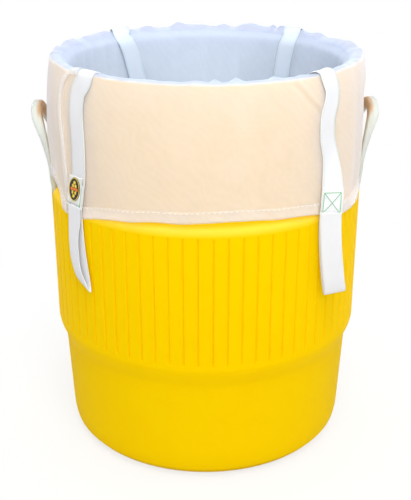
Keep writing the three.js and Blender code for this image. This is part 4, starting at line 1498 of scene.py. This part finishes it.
# ------------------------------------------------------------------ tap spring
def build_spring():
    """A fine coil in place of the CAD spring, built at one length, though the real spring flattens
    as the tap stem lifts.
    """
    t = np.linspace(0, 1, 260)
    coil_r, turns = 4.4, 4.0
    angle = t * turns * TAU
    helix = [coil_r * np.cos(angle), 206 + coil_r * np.sin(angle), 59.4 + 17.8 * t]
    spring = add_mesh("tap_spring_coil", *tube(np.stack(helix, 1), 0.55, 10), STEEL,
                      body="tub", slot="steel", replaces="tap_spring")
    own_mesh(spring)


build_spring()

# ------------------------------------------------------------------ stage (metres)
SKY_BACK, SKY_FRONT = 0.50, 1.09  # sky strength away from and towards SKY_DIRECTION
SKY_DIRECTION = (0.14, -0.60, 0.78)
KEY_POWER, WELL_POWER = 9.4, 0.95
CAMERA_AZIMUTH = -2.5
CAMERA_DISTANCE, CAMERA_HEIGHT = 1.16616, 0.71989  # distance is measured level from the axis
CAMERA_PITCH = 22.66  # degrees downwards
CAMERA_LENS = 67.78872  # mm
CAMERA_SHIFT = 0.00314  # share of the frame's width


def floor_material():
    """Pale to the camera, whiter further out, and greyer in bounced light."""
    m = material_nodes("studio_floor")
    place = m.coords()
    patches = m.noise(place, scale=3.0, detail=3, rough=0.5)
    camera_ray = m.light_path("Is Camera Ray")
    pale = m.mix(patches, (0.95, 0.95, 0.95), (0.92, 0.92, 0.925))
    color = m.mix(camera_ray, (0.54, 0.54, 0.54), pale)
    lit = m.principled(color, rough=0.8, specular=0.1)
    distance = m.add("ShaderNodeVectorMath", {0: place}, out="Value", operation="LENGTH")
    # the fade starts 0.24 m from the axis
    away = clamped((distance - 0.24) * 2.6)
    white = m.add("ShaderNodeEmission", {"Color": (1, 1, 1), "Strength": 1.0})
    whiteness = 0.72 + away**0.6 * 0.28
    return m.surface(m.mix_shader(whiteness * camera_ray, lit, white))


def build_floor():
    material = floor_material()
    half, z = 8, -0.0006
    mesh = bpy.data.meshes.new("floor")
    corners = [(-half, -half, z), (half, -half, z), (half, half, z), (-half, half, z)]
    mesh.from_pydata(corners, [], [(0, 1, 2, 3)])
    mesh.materials.append(material)
    floor = bpy.data.objects.new("floor", mesh)
    bpy.context.scene.collection.objects.link(floor)


def build_world():
    """A soft graded sky for light, plain white to the camera."""
    world = bpy.data.worlds.new("studio")
    bpy.context.scene.world = world
    w = Nodes(world, "ShaderNodeOutputWorld")
    direction = w.add("ShaderNodeTexCoord", out="Generated")
    toward = w.add("ShaderNodeVectorMath", {0: direction, 1: SKY_DIRECTION}, out="Value",
                   operation="DOT_PRODUCT")
    strength = w.add("ShaderNodeMapRange", {
        "Value": toward, "From Min": -1.0, "From Max": 1.0,
        "To Min": SKY_BACK, "To Max": SKY_FRONT}, out="Result")
    sky = w.add("ShaderNodeBackground", {"Color": (0.975, 0.985, 1.0), "Strength": strength})
    white = w.add("ShaderNodeBackground", {"Color": (1, 1, 1), "Strength": 1.0})
    w.surface(w.mix_shader(w.light_path("Is Camera Ray"), sky, white))


def area_light(name, location, target, size, energy, color, spread=180):
    light = bpy.data.lights.new(name, "AREA")
    light.energy = energy
    light.color = color
    light.shape = "DISK"
    light.size = size
    light.spread = math.radians(spread)
    obj = bpy.data.objects.new(name, light)
    obj.location = location
    aim = Vector(target) - Vector(location)
    obj.rotation_euler = aim.to_track_quat("-Z", "Y").to_euler()
    bpy.context.scene.collection.objects.link(obj)


def build_camera():
    data = bpy.data.cameras.new("camera")
    data.sensor_width = 36
    data.lens = CAMERA_LENS
    data.shift_y = CAMERA_SHIFT
    data.clip_start = 0.05
    data.clip_end = 50
    camera = bpy.data.objects.new("camera", data)
    camera.location = polar(CAMERA_AZIMUTH, CAMERA_DISTANCE, CAMERA_HEIGHT)
    aim = Vector(polar(CAMERA_AZIMUTH, -cosd(CAMERA_PITCH), -sind(CAMERA_PITCH)))
    camera.rotation_euler = aim.to_track_quat("-Z", "Y").to_euler()
    bpy.context.scene.collection.objects.link(camera)
    bpy.context.scene.camera = camera


build_floor()
build_world()
area_light("key", location=(0.42, -1.95, 1.6), target=(0, 0, 0.3), size=1.3,
           energy=KEY_POWER, color=(1, 0.99, 0.97))
area_light("well", location=(0.05, -0.75, 1.75), target=(0, 0.12, 0.43), size=0.7,
           energy=WELL_POWER, color=(0.95, 0.98, 1.0), spread=40)
build_camera()

scene = bpy.context.scene
scene.view_settings.view_transform = "Standard"
scene.view_settings.look = "None"
scene.cycles.use_denoising = True
scene.cycles.transparent_max_bounces = 24
scene.cycles.max_bounces = 10
